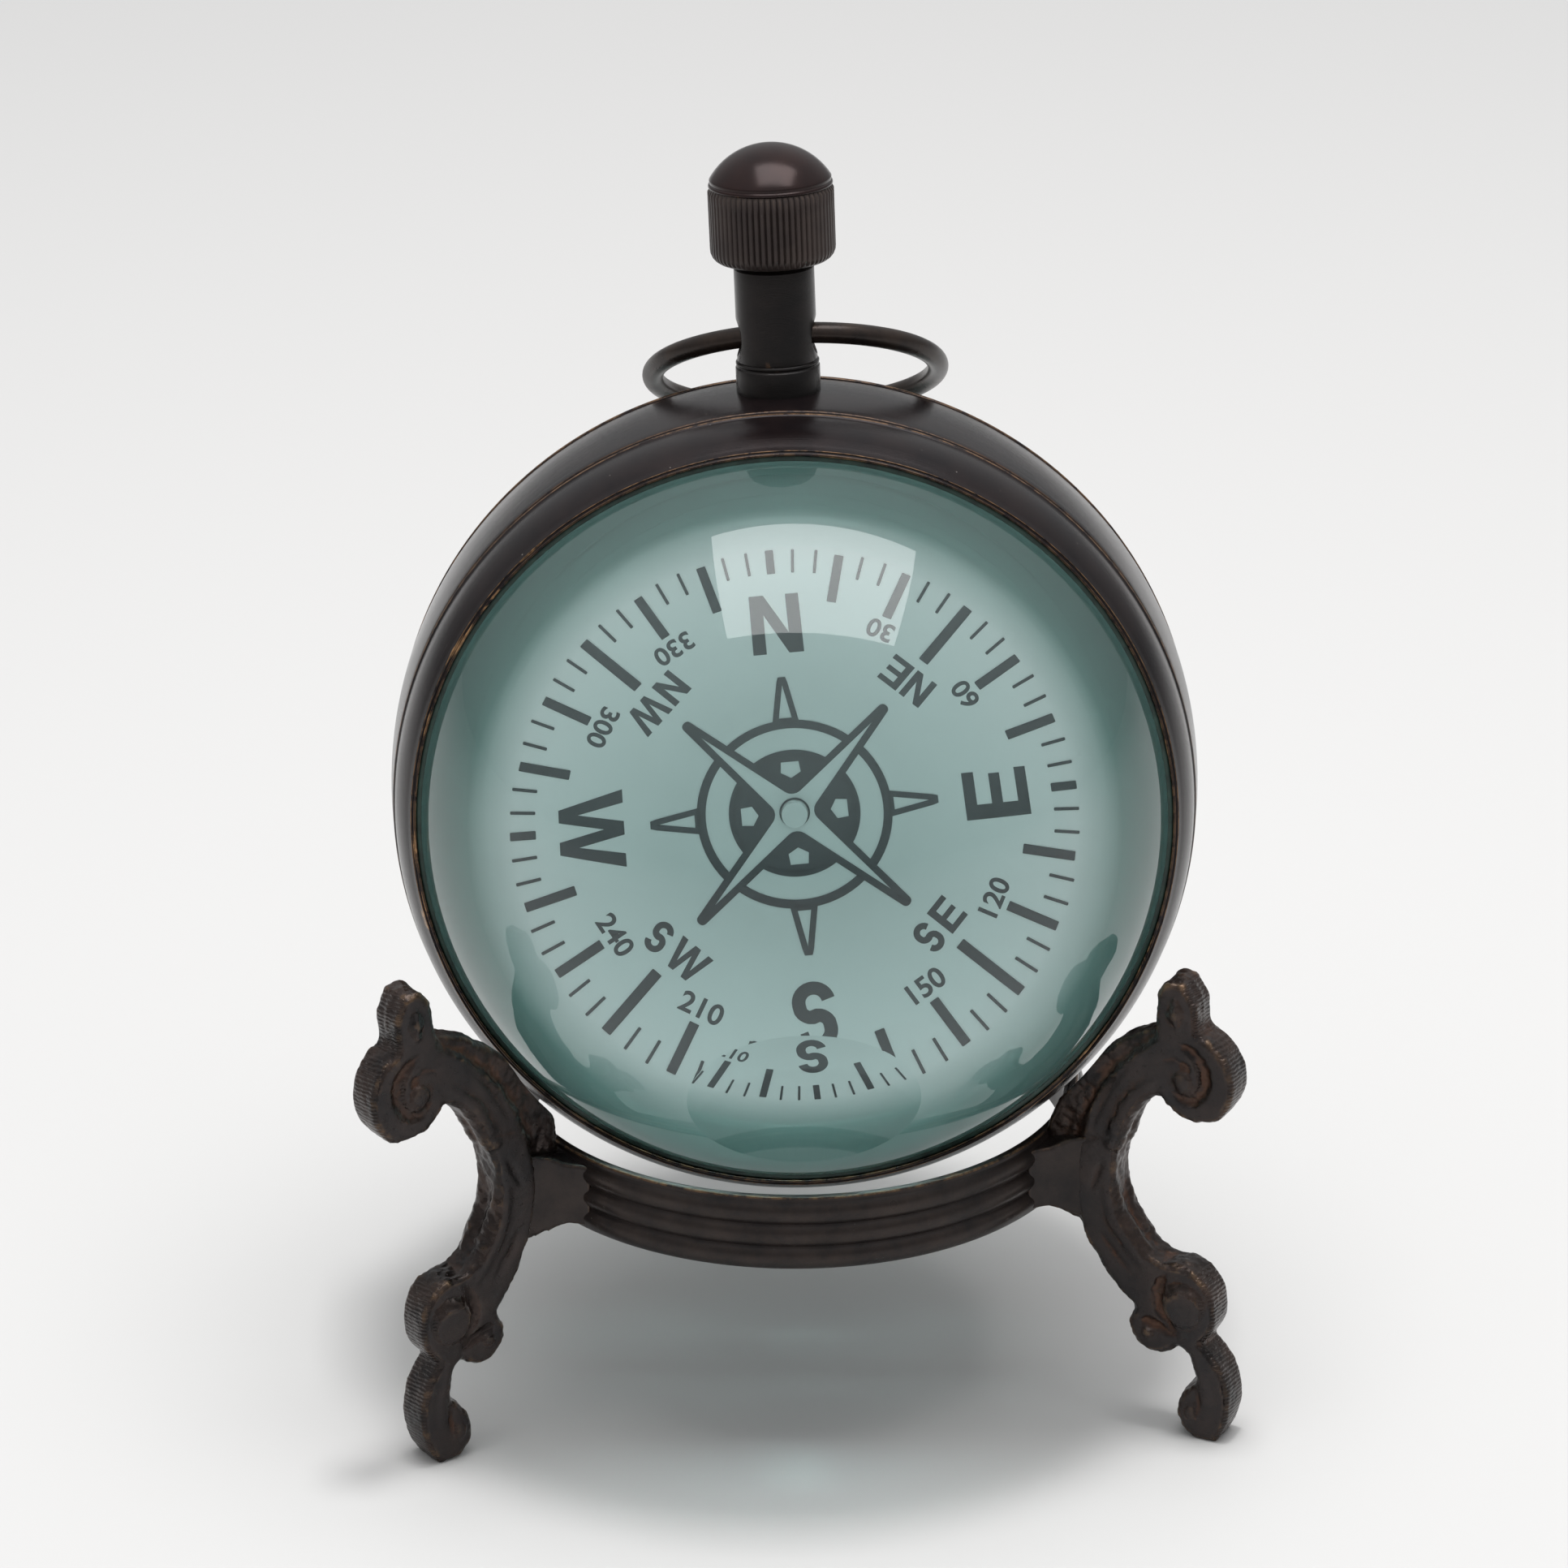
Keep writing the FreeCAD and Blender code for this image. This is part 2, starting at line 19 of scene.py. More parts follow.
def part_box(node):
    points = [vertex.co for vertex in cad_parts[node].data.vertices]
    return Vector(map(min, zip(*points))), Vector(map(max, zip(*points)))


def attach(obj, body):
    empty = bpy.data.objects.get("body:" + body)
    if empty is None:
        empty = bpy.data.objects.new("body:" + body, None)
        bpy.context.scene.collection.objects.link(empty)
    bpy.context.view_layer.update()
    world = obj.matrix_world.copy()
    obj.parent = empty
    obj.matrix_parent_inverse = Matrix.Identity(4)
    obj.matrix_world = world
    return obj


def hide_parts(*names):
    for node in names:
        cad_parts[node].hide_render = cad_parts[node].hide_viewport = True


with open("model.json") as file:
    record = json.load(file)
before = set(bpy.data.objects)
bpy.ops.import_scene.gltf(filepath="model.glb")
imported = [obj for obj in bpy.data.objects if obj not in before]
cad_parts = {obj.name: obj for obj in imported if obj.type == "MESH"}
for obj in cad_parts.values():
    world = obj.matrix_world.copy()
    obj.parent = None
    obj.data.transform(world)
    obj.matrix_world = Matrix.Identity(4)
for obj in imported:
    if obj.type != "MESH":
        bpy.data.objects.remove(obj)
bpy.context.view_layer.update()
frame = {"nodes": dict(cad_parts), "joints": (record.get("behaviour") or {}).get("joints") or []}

# %% [markdown]
# ## Where things are
#
# Everything is measured from the frame. The compass leans back in its stand, so its pieces
# are easier to make upright on the "bench", with the ball's centre at the origin, the dial
# towards -Y and the neck towards +Z. One matrix, read from the joints, then settles each
# piece where it belongs. Sizes are written in millimetres and turned into metres by `MM`.

# %% Read the axes of the compass from its joints
MM = 0.001
joints = {joint["name"]: joint for joint in frame["joints"]}
ball_centre = Vector(joints["card_spin"]["pos_m"])
to_front = Vector(joints["card_spin"]["axis"])
to_right = Vector(joints["bow_swing"]["axis"])
to_top = Vector(joints["crown_turn"]["axis"])
SETTLE = Matrix.Translation(ball_centre) @ Matrix((to_right, -to_front, to_top)).transposed().to_4x4()

ring_low, ring_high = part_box("stand_ring")
stand_axis = (ring_low + ring_high) / 2
NECK_Y = (SETTLE.inverted() @ Vector(joints["crown_turn"]["pos_m"])).y / MM
HOLE_Z = (SETTLE.inverted() @ Vector(joints["bow_swing"]["pos_m"])).z / MM
print("ball centre", [round(v / MM, 2) for v in ball_centre], "mm; neck", round(NECK_Y, 2), "mm back")

# %% [markdown]
# ## Camera first
#
# The view decides how much detail each piece needs, so the camera is made first. It stands
# well back with a long lens and looks down a little, as for a catalogue picture, which keeps
# the circles round. It aims a touch left of the ball, so that the ball sits right of centre.

# %% Camera
CAMERA_DISTANCE = 0.80
CAMERA_ELEVATION = math.radians(24.3)
CAMERA_LENS = 186.5
AIM = Vector((-0.00104, 0, 0.0004))

bpy.ops.object.camera_add()
camera = bpy.context.object
camera.name = "camera"
back = Vector((0, -math.cos(CAMERA_ELEVATION), math.sin(CAMERA_ELEVATION)))
camera.location = ball_centre + AIM + back * CAMERA_DISTANCE
camera.rotation_mode = "QUATERNION"
camera.rotation_quaternion = (-back).to_track_quat("-Z", "Y")
camera.data.lens = CAMERA_LENS
camera.data.sensor_width = 36
camera.data.clip_start = 0.05
camera.data.clip_end = 20
bpy.context.scene.camera = camera
print("camera", round(CAMERA_DISTANCE, 2), "m away, lens", CAMERA_LENS, "mm")

# %% [markdown]
# ## Shared effects as node groups
#
# Old brass is never one colour. A patina has soft clouds, fine specks and rubbed edges, and
# every metal piece here wants them at its own strength. Each effect is a small node group
# that puts out a mask or a height, so a material can place it with its own values. The
# alternative, painting every material from nothing, would drift apart piece by piece.

# %% Helpers for node trees


def add_node(tree, kind, **settings):
    """A new node, with attributes set by name and inputs set by a dictionary."""
    node = tree.nodes.new(kind)
    values = settings.pop("inputs", {})
    for key, value in settings.items():
        setattr(node, key, value)
    for key, value in values.items():
        node.inputs[key].default_value = value
    return node


def new_group(name, inputs, outputs):
    """An empty shader group with its sockets, and its input and output nodes."""
    tree = bpy.data.node_groups.new(name, "ShaderNodeTree")
    for socket, kind, value in inputs:
        made = tree.interface.new_socket(socket, in_out="INPUT", socket_type=kind)
        if value is not None:
            made.default_value = value
    for socket, kind in outputs:
        tree.interface.new_socket(socket, in_out="OUTPUT", socket_type=kind)
    return tree, tree.nodes.new("NodeGroupInput"), tree.nodes.new("NodeGroupOutput")


def math_node(tree, operation, first, second, clamp=False):
    """A maths node fed by sockets or numbers."""
    node = add_node(tree, "ShaderNodeMath", operation=operation, use_clamp=clamp)
    for slot, value in enumerate((first, second)):
        if isinstance(value, (int, float)):
            node.inputs[slot].default_value = value
        else:
            tree.links.new(value, node.inputs[slot])
    return node.outputs[0]


def remap(tree, value, low, high, to_low=0.0, to_high=1.0):
    """Stretch a value from one range to another, clamped."""
    node = add_node(tree, "ShaderNodeMapRange", inputs={
        "From Min": low, "From Max": high, "To Min": to_low, "To Max": to_high})
    tree.links.new(value, node.inputs["Value"])
    return node.outputs["Result"]


def noise(tree, vector, scale, detail=4.0, roughness=0.6):
    """A noise texture on a vector; scale may be a socket."""
    node = add_node(tree, "ShaderNodeTexNoise", inputs={"Detail": detail, "Roughness": roughness})
    tree.links.new(vector, node.inputs["Vector"])
    if isinstance(scale, (int, float)):
        node.inputs["Scale"].default_value = scale
    else:
        tree.links.new(scale, node.inputs["Scale"])
    return node.outputs["Fac"]


# %% [markdown]
# ### Clouds
#
# On the real brass the patina took unevenly, so the brown drifts from dark to warm, with fine
# specks in it. Painting this by hand is slow; three noises at different sizes give it at once.

# %% Clouds: the slow changes of a chemical patina
clouds, entry, leave = new_group(
    "patina_clouds",
    [("Vector", "NodeSocketVector", None), ("Scale", "NodeSocketFloat", 220.0)],
    [("Cloud", "NodeSocketFloat"), ("Speck", "NodeSocketFloat"), ("Smudge", "NodeSocketFloat")],
)
slow = noise(clouds, entry.outputs["Vector"], entry.outputs["Scale"], 5.0, 0.62)
quick_scale = math_node(clouds, "MULTIPLY", entry.outputs["Scale"], 9.0)
fine = noise(clouds, entry.outputs["Vector"], quick_scale, 3.0, 0.7)
smear_scale = math_node(clouds, "MULTIPLY", entry.outputs["Scale"], 0.35)
smear = noise(clouds, entry.outputs["Vector"], smear_scale, 2.0, 0.5)
clouds.links.new(remap(clouds, slow, 0.35, 0.68), leave.inputs["Cloud"])
clouds.links.new(remap(clouds, fine, 0.60, 0.74), leave.inputs["Speck"])
clouds.links.new(remap(clouds, smear, 0.40, 0.62), leave.inputs["Smudge"])

# %% [markdown]
# ### Rub
#
# Hands and cloths wear the patina off the corners first. The mesh itself knows where it is
# sharp, through its pointiness, and a noise breaks that line up so that it looks worn.

# %% Rub: bare metal on corners that hands and cloths reach
rub, entry, leave = new_group(
    "edge_rub",
    [("Vector", "NodeSocketVector", None), ("Start", "NodeSocketFloat", 0.53),
     ("Full", "NodeSocketFloat", 0.60), ("Break Scale", "NodeSocketFloat", 900.0)],
    [("Mask", "NodeSocketFloat")],
)
edge = add_node(rub, "ShaderNodeNewGeometry").outputs["Pointiness"]
spread = add_node(rub, "ShaderNodeMapRange")
rub.links.new(edge, spread.inputs["Value"])
rub.links.new(entry.outputs["Start"], spread.inputs["From Min"])
rub.links.new(entry.outputs["Full"], spread.inputs["From Max"])
broken = remap(rub, noise(rub, entry.outputs["Vector"], entry.outputs["Break Scale"], 4.0, 0.7), 0.38, 0.60)
rub.links.new(math_node(rub, "MULTIPLY", spread.outputs["Result"], broken), leave.inputs["Mask"])

# %% [markdown]
# ### Turning lines
#
# A lathe leaves fine rings round its axis. They could be modelled, but are far too fine, so a
# noise along the distance from the axis gives a height for the bump.

# %% Turning lines: the fine rings a lathe tool leaves round an axis
turning, entry, leave = new_group(
    "turning_lines",
    [("Vector", "NodeSocketVector", None), ("Pitch", "NodeSocketFloat", 9000.0)],
    [("Height", "NodeSocketFloat")],
)
split = add_node(turning, "ShaderNodeSeparateXYZ")
turning.links.new(entry.outputs["Vector"], split.inputs[0])
across = math_node(turning, "MULTIPLY", split.outputs["X"], split.outputs["X"])
upward = math_node(turning, "MULTIPLY", split.outputs["Z"], split.outputs["Z"])
radius = math_node(turning, "SQRT", math_node(turning, "ADD", across, upward), 0.0)
along = math_node(turning, "MULTIPLY", math_node(turning, "ADD", radius, split.outputs["Y"]),
                  entry.outputs["Pitch"])
lines = add_node(turning, "ShaderNodeTexNoise", noise_dimensions="1D",
                 inputs={"Scale": 1.0, "Detail": 3.0, "Roughness": 0.7})
turning.links.new(along, lines.inputs["W"])
turning.links.new(lines.outputs["Fac"], leave.inputs["Height"])

# %% [markdown]
# ### Dust
#
# A used object has a few pale specks, only where its faces look up. Cells with a small spot
# in each, thinned out by a noise, do it without any particles.

# %% Dust: pale specks that settle on what faces up
dust, entry, leave = new_group(
    "dust",
    [("Vector", "NodeSocketVector", None), ("Amount", "NodeSocketFloat", 0.5)],
    [("Mask", "NodeSocketFloat")],
)
facing = add_node(dust, "ShaderNodeSeparateXYZ")
dust.links.new(add_node(dust, "ShaderNodeNewGeometry").outputs["Normal"], facing.inputs[0])
upside = remap(dust, facing.outputs["Z"], 0.1, 0.9)
grains = add_node(dust, "ShaderNodeTexVoronoi", inputs={"Scale": 900.0, "Randomness": 1.0})
dust.links.new(entry.outputs["Vector"], grains.inputs["Vector"])
points = remap(dust, grains.outputs["Distance"], 0.10, 0.04)
few = remap(dust, noise(dust, entry.outputs["Vector"], 420.0, 2.0), 0.56, 0.66)
settled = math_node(dust, "MULTIPLY", math_node(dust, "MULTIPLY", points, few), upside)
dust.links.new(math_node(dust, "MULTIPLY", settled, entry.outputs["Amount"]), leave.inputs["Mask"])
print("node groups:", [tree.name for tree in bpy.data.node_groups])

# %% [markdown]
# ## Finishes
#
# The metal is brass under a near-black patina, so its colour is dark brown with a soft
# shine, and bronze shows where it is rubbed. One builder makes all the metal finishes: it
# mixes two browns by the clouds, adds bronze by the rub mask, and sends the lines and the
# specks to a bump. Values that stay the same all over are set on the shader itself.

# %% One builder for patinated metal


def place_group(tree, group, vector, **values):
    """Put a shared effect into a material, with its own values."""
    node = add_node(tree, "ShaderNodeGroup", node_tree=group)
    tree.links.new(vector, node.inputs["Vector"])
    for key, value in values.items():
        node.inputs[key.replace("_", " ")].default_value = value
    return node


def blend_colour(tree, mask, first, second):
    """Mix two colours by a mask; each colour is a tuple or a socket."""
    node = add_node(tree, "ShaderNodeMix", data_type="RGBA")
    tree.links.new(mask, node.inputs["Factor"])
    for name, value in (("A", first), ("B", second)):
        socket = [s for s in node.inputs if s.name == name and s.type == "RGBA"][0]
        if isinstance(value, tuple):
            socket.default_value = (*value, 1.0)
        else:
            tree.links.new(value, socket)
    return [s for s in node.outputs if s.type == "RGBA"][0]


def new_material(name):
    """A material with its tree and its shader."""
    material = bpy.data.materials.new(name)
    material.use_nodes = True
    tree = material.node_tree
    shader = tree.nodes["Principled BSDF"]
    return material, tree, shader


def bench_vector(tree):
    """Object coordinates brought back to the bench, so that patterns follow the case."""
    mapping = add_node(tree, "ShaderNodeMapping", vector_type="TEXTURE")
    mapping.inputs["Location"].default_value = ball_centre
    mapping.inputs["Rotation"].default_value = SETTLE.to_euler()
    tree.links.new(add_node(tree, "ShaderNodeTexCoord").outputs["Object"], mapping.inputs["Vector"])
    return mapping.outputs["Vector"]


def metal(name, dark, warm, worn, shine, rub_range, grain, lines=0.0, metallic=0.55, scale=160.0):
    """Brass under patina. shine is (smoothest, roughest), grain the bump of the surface."""
    material, tree, shader = new_material(name)
    vector = bench_vector(tree)
    cloud = place_group(tree, clouds, vector, Scale=scale)
    rubbed = place_group(tree, rub, vector, Start=rub_range[0], Full=rub_range[1])
    dusty = place_group(tree, dust, vector, Amount=0.6)
    colour = blend_colour(tree, cloud.outputs["Cloud"], dark, warm)
    colour = blend_colour(tree, rubbed.outputs["Mask"], colour, worn)
    colour = blend_colour(tree, dusty.outputs["Mask"], colour, (0.34, 0.32, 0.29))
    tree.links.new(colour, shader.inputs["Base Color"])
    tree.links.new(remap(tree, cloud.outputs["Smudge"], 0, 1, *shine), shader.inputs["Roughness"])
    shader.inputs["Metallic"].default_value = metallic
    shader.inputs["Specular IOR Level"].default_value = 0.45
    height = math_node(tree, "MULTIPLY", cloud.outputs["Speck"], grain)
    height = math_node(tree, "ADD", height, math_node(tree, "MULTIPLY", cloud.outputs["Cloud"], grain))
    if lines:
        cut = place_group(tree, turning, vector)
        height = math_node(tree, "ADD", height, math_node(tree, "MULTIPLY", cut.outputs["Height"], lines))
    bump = add_node(tree, "ShaderNodeBump", inputs={"Strength": 0.5, "Distance": 0.00006})
    tree.links.new(height, bump.inputs["Height"])
    tree.links.new(bump.outputs["Normal"], shader.inputs["Normal"])
    return material


case_brass = metal("case_brass", (0.007, 0.005, 0.006), (0.016, 0.010, 0.010), (0.34, 0.19, 0.09),
                   (0.13, 0.22), (0.515, 0.555), 0.12, lines=0.3)
neck_brass = metal("neck_brass", (0.009, 0.008, 0.008), (0.018, 0.014, 0.013), (0.16, 0.09, 0.05),
                   (0.22, 0.34), (0.56, 0.66), 0.3, lines=0.3)
crown_brass = metal("crown_brass", (0.034, 0.026, 0.025), (0.060, 0.045, 0.040), (0.16, 0.11, 0.08),
                    (0.34, 0.48), (0.54, 0.66), 0.4)
crown_polish = metal("crown_polish", (0.013, 0.007, 0.007), (0.024, 0.011, 0.010), (0.10, 0.05, 0.03),
                     (0.13, 0.22), (0.56, 0.66), 0.15)
ring_brass = metal("ring_brass", (0.015, 0.012, 0.012), (0.034, 0.025, 0.022), (0.15, 0.085, 0.045),
                   (0.27, 0.42), (0.515, 0.58), 0.6, scale=240.0)
bow_brass = metal("bow_brass", (0.016, 0.012, 0.011), (0.036, 0.024, 0.018), (0.16, 0.09, 0.05),
                  (0.26, 0.40), (0.52, 0.58), 0.3, scale=320.0)
plain_brass = metal("plain_brass", (0.50, 0.34, 0.13), (0.62, 0.45, 0.20), (0.75, 0.60, 0.32),
                    (0.22, 0.38), (0.52, 0.60), 0.2, lines=0.4, metallic=1.0)
steel = metal("blued_steel", (0.18, 0.19, 0.21), (0.26, 0.27, 0.30), (0.45, 0.46, 0.48),
              (0.20, 0.34), (0.52, 0.60), 0.2, metallic=1.0)
finishes = [case_brass, neck_brass, crown_brass, crown_polish, ring_brass, bow_brass, plain_brass, steel]
print("metal finishes:", [finish.name for finish in finishes])

# %% [markdown]
# ### The legs' finish
#
# The cast legs show more than one wear: grey where they were filed flat, dark and a little
# warm in the hollows, golden where hands have rubbed. The builder above can't place these, so
# the legs get their own material, which reads the marks that are put on their mesh further
# down. Fine file teeth are a wave pattern, kept to the filed rims.

# %% Leg finish


def attribute(tree, name):
    """A value kept on the mesh, one for each vertex."""
    return add_node(tree, "ShaderNodeAttribute", attribute_name=name).outputs["Fac"]


leg_brass, tree, shader = new_material("leg_brass")
vector = bench_vector(tree)
cloud = place_group(tree, clouds, vector, Scale=230.0)
dusty = place_group(tree, dust, vector, Amount=0.5)
patchy = remap(tree, noise(tree, vector, 700.0, 4.0, 0.65), 0.42, 0.62)
standing = math_node(tree, "MULTIPLY", remap(tree, attribute(tree, "relief"), 0.09, 0.30), patchy)
sunken = remap(tree, attribute(tree, "relief"), -0.02, -0.11)
flat_mask = attribute(tree, "filed_face")
file_teeth = add_node(tree, "ShaderNodeTexWave", wave_type="BANDS", bands_direction="Z", inputs={
    "Scale": 800.0, "Distortion": 2.5, "Detail": 2.0, "Detail Scale": 2.0})
tree.links.new(vector, file_teeth.inputs["Vector"])
teeth = math_node(tree, "MULTIPLY", file_teeth.outputs["Fac"], attribute(tree, "filed_rim"))
colour = blend_colour(tree, cloud.outputs["Cloud"], (0.010, 0.008, 0.008), (0.046, 0.029, 0.023))
colour = blend_colour(tree, math_node(tree, "MULTIPLY", flat_mask, 0.45), colour, (0.040, 0.036, 0.037))
colour = blend_colour(tree, math_node(tree, "MULTIPLY", sunken, 0.6), colour, (0.016, 0.010, 0.009))
warmth = math_node(tree, "MULTIPLY", sunken, cloud.outputs["Smudge"])
colour = blend_colour(tree, math_node(tree, "MULTIPLY", warmth, 0.45), colour, (0.12, 0.052, 0.026))
colour = blend_colour(tree, math_node(tree, "MULTIPLY", standing, 0.55), colour, (0.33, 0.20, 0.105))
colour = blend_colour(tree, dusty.outputs["Mask"], colour, (0.34, 0.32, 0.29))
tree.links.new(colour, shader.inputs["Base Color"])
gloss = remap(tree, cloud.outputs["Smudge"], 0, 1, 0.20, 0.36)
tree.links.new(math_node(tree, "ADD", gloss, math_node(tree, "MULTIPLY", flat_mask, 0.16)),
               shader.inputs["Roughness"])
shader.inputs["Metallic"].default_value = 0.6
shader.inputs["Specular IOR Level"].default_value = 0.5
height = math_node(tree, "ADD", math_node(tree, "MULTIPLY", cloud.outputs["Speck"], 0.9),
                   math_node(tree, "MULTIPLY", teeth, 1.2))
height = math_node(tree, "ADD", height, noise(tree, vector, 1500.0, 4.0, 0.7))
bump = add_node(tree, "ShaderNodeBump", inputs={"Strength": 0.6, "Distance": 0.00008})
tree.links.new(height, bump.inputs["Height"])
tree.links.new(bump.outputs["Normal"], shader.inputs["Normal"])
print("leg finish reads filed_face, filed_rim and relief")

# %% [markdown]
# ## Glass
#
# The ball is plain soda glass, green at its edges because light travels further there. That
# is a volume effect: a clear surface with an absorbing inside gives the colour by itself,
# deeper where the glass is thicker. Tinting the surface would look like coloured film.

# %% Glass finish


def make_glass(name):
    material, tree, shader = new_material(name)
    shader.inputs["Base Color"].default_value = (1, 1, 1, 1)
    shader.inputs["Roughness"].default_value = 0.0
    shader.inputs["IOR"].default_value = 1.52
    shader.inputs["Transmission Weight"].default_value = 1.0
    inside = add_node(tree, "ShaderNodeVolumeAbsorption", inputs={
        "Color": (0.10, 0.72, 0.68, 1.0), "Density": 9.0})
    tree.links.new(inside.outputs[0], tree.nodes["Material Output"].inputs["Volume"])
    return material


lens_glass = make_glass("lens_glass")
print("glass absorbs most in red")

# %% [markdown]
# ## Modelling by tracing an outline
#
# A turned piece is an outline spun about an axis, and a cast plate is an outline thickened.
# Both start from the same move: a tiny plane is merged into one vertex, and that vertex is
# extruded from point to point. Round stretches come from `arc`, so an outline lists only
# its corners.

# %% Outline helpers


def arc(centre, radius, start, end, count):
    """Points on an arc, angles in degrees, both ends included."""
    found = []
    for i in range(count + 1):
        angle = math.radians(start + (end - start) * i / count)
        found.append((centre[0] + radius * math.cos(angle), centre[1] + radius * math.sin(angle)))
    return found


def through(start, via, end, count=8):
    """Points on the arc through three points, without the first one."""
    ax, ay = start
    bx, by = via
    cx, cy = end
    double = 2 * (ax * (by - cy) + bx * (cy - ay) + cx * (ay - by))
    a_square = ax * ax + ay * ay
    b_square = bx * bx + by * by
    c_square = cx * cx + cy * cy
    ux = (a_square * (by - cy) + b_square * (cy - ay) + c_square * (ay - by)) / double
    uy = (a_square * (cx - bx) + b_square * (ax - cx) + c_square * (bx - ax)) / double
    first = math.degrees(math.atan2(ay - uy, ax - ux))
    middle = math.degrees(math.atan2(by - uy, bx - ux))
    last = math.degrees(math.atan2(cy - uy, cx - ux))
    turn = (last - first) % 360
    if (middle - first) % 360 > turn:
        turn -= 360
    return arc((ux, uy), math.hypot(ax - ux, ay - uy), first, first + turn, count)[1:]


def deselect():
    """Nothing selected and no mode active."""
    if bpy.context.object and bpy.context.object.mode != "OBJECT":
        bpy.ops.object.mode_set(mode="OBJECT")
    bpy.ops.object.select_all(action="DESELECT")


def trace(name, points):
    """A new object in edit mode: one vertex extruded along points given in metres."""
    deselect()
    bpy.ops.mesh.primitive_plane_add(size=MM)
    piece = bpy.context.object
    piece.name = name
    piece.data.name = name
    bpy.ops.object.mode_set(mode="EDIT")
    bpy.ops.mesh.select_all(action="SELECT")
    bpy.ops.mesh.merge(type="CENTER")
    bpy.ops.transform.translate(value=points[0])
    for here, there in zip(points, points[1:]):
        bpy.ops.mesh.extrude_region_move(TRANSFORM_OT_translate={"value": there - here})
    return piece


def close_mesh():
    """Merge doubles and turn all faces outwards, in edit mode."""
    bpy.ops.mesh.select_all(action="SELECT")
    bpy.ops.mesh.remove_doubles(threshold=0.002 * MM)
    bpy.ops.mesh.normals_make_consistent(inside=False)


def finer(outline, longest):
    """The outline with points added, so that no stretch is longer than this."""
    found = [outline[0]]
    for here, there in zip(outline, outline[1:]):
        count = max(1, math.ceil(math.dist(here, there) / longest))
        for i in range(1, count + 1):
            found.append(tuple(a + (b - a) * i / count for a, b in zip(here, there)))
    return found


def lathe(name, outline, upright=False, steps=192, longest=1.2):
    """Turn an outline of (radius, depth) about the case's axis, or (radius, height) upright."""
    outline = finer(outline, longest)
    if upright:
        points = [Vector((r, 0, z)) * MM for r, z in outline]
        axis = (0, 0, 1)
    else:
        points = [Vector((r, -depth, 0)) * MM for r, depth in outline]
        axis = (0, 1, 0)
    piece = trace(name, points)
    bpy.ops.mesh.select_all(action="SELECT")
    bpy.ops.mesh.spin(steps=steps, angle=math.tau, center=(0, 0, 0), axis=axis)
    close_mesh()
    bpy.ops.object.mode_set(mode="OBJECT")
    return piece


def soften(piece, width=0.12, segments=3, angle=28):
    """Round the corners with a bevel modifier, apply it and smooth the shading."""
    bpy.context.view_layer.objects.active = piece
    piece.select_set(True)
    if width:
        bevel = piece.modifiers.new("corners", "BEVEL")
        bevel.width = width * MM
        bevel.segments = segments
        bevel.limit_method = "ANGLE"
        bevel.angle_limit = math.radians(angle)
        bpy.ops.object.modifier_apply(modifier=bevel.name)
    bpy.ops.object.shade_smooth_by_angle(angle=math.radians(40))


def move_mesh(piece, matrix):
    """Put the piece in place and leave its object at the origin, unturned."""
    deselect()
    bpy.context.view_layer.objects.active = piece
    piece.select_set(True)
    piece.matrix_world = matrix @ piece.matrix_world
    bpy.ops.object.transform_apply(location=True, rotation=True, scale=True)


def dress(piece, material, body, slot, *nodes):
    """Give a finished piece its finish and its body, and hide the nodes it stands for; slot is not used."""
    piece.data.materials.clear()
    piece.data.materials.append(material)
    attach(piece, body)
    if nodes:
        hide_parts(*nodes)
    print(piece.name, len(piece.data.polygons), "faces")
    return piece


# %% [markdown]
# ## The case
#
# The case is three turned pieces screwed together: a broad middle band and a bezel at each
# end. They are spun from outlines with a groove at each joint. The fine corners matter more
# than the big curves, because they catch the light and wear to bronze, so every corner gets
# a small bevel.

# %% Middle band
BAND_OUTLINE = (
    [(38.0, 0.8), (38.6, 0.8), (38.6, 4.15), (39.0, 4.2), (39.28, 4.05)]
    + through((39.28, 4.05), (39.78, -1.8), (39.6, -7.7), 14)
    + [(39.3, -7.85), (38.6, -7.8), (38.6, -4.2), (38.0, -4.2), (38.0, 0.8)]
)
band = lathe("case_band_turned", BAND_OUTLINE)
soften(band, 0.1)
move_mesh(band, SETTLE)
dress(band, case_brass, "compass", "case_brass", "case_band")

# %% [markdown]
# ### The bezels
#
# Each bezel screws into the band and holds a lens under its lip. Both are the same shape with
# another length, so one outline with two settings serves both, which keeps their grooves alike.

# %% Bezels: the same mount for the glass, in front and behind


def bezel_outline(joint, joint_r, skirt):
    """Skirt, groove, bead, long swell, worn front corner, stepped face and lip."""
    swell = ((joint_r + 37.35) / 2 + 0.42, (joint + 12.4) / 2)
    return (
        [(37.95, skirt), (38.5, skirt), (38.5, joint + 0.1), (joint_r - 0.45, joint + 0.15)]
        + [(joint_r - 0.45, joint + 0.5), (joint_r - 0.1, joint + 0.55)]
        + through((joint_r - 0.1, joint + 0.55), (joint_r + 0.02, joint + 0.85),
                  (joint_r - 0.14, joint + 1.1), 4)
        + [(joint_r - 0.2, joint + 1.2)]
        + through((joint_r - 0.2, joint + 1.2), swell, (37.42, 11.45), 12)
        + [(37.30, 11.8), (37.12, 11.72), (37.02, 11.95), (36.80, 11.98), (36.75, 11.85)]
        + [(36.75, 11.2), (37.05, 11.2), (37.05, 9.6), (37.9, 5.4 if joint < 5 else 8.6), (37.95, skirt)]
    )


front_bezel = lathe("front_bezel_turned", bezel_outline(4.4, 39.3, 0.9), steps=256)
soften(front_bezel, 0.07)
move_mesh(front_bezel, SETTLE)
dress(front_bezel, case_brass, "compass", "case_brass", "front_bezel")

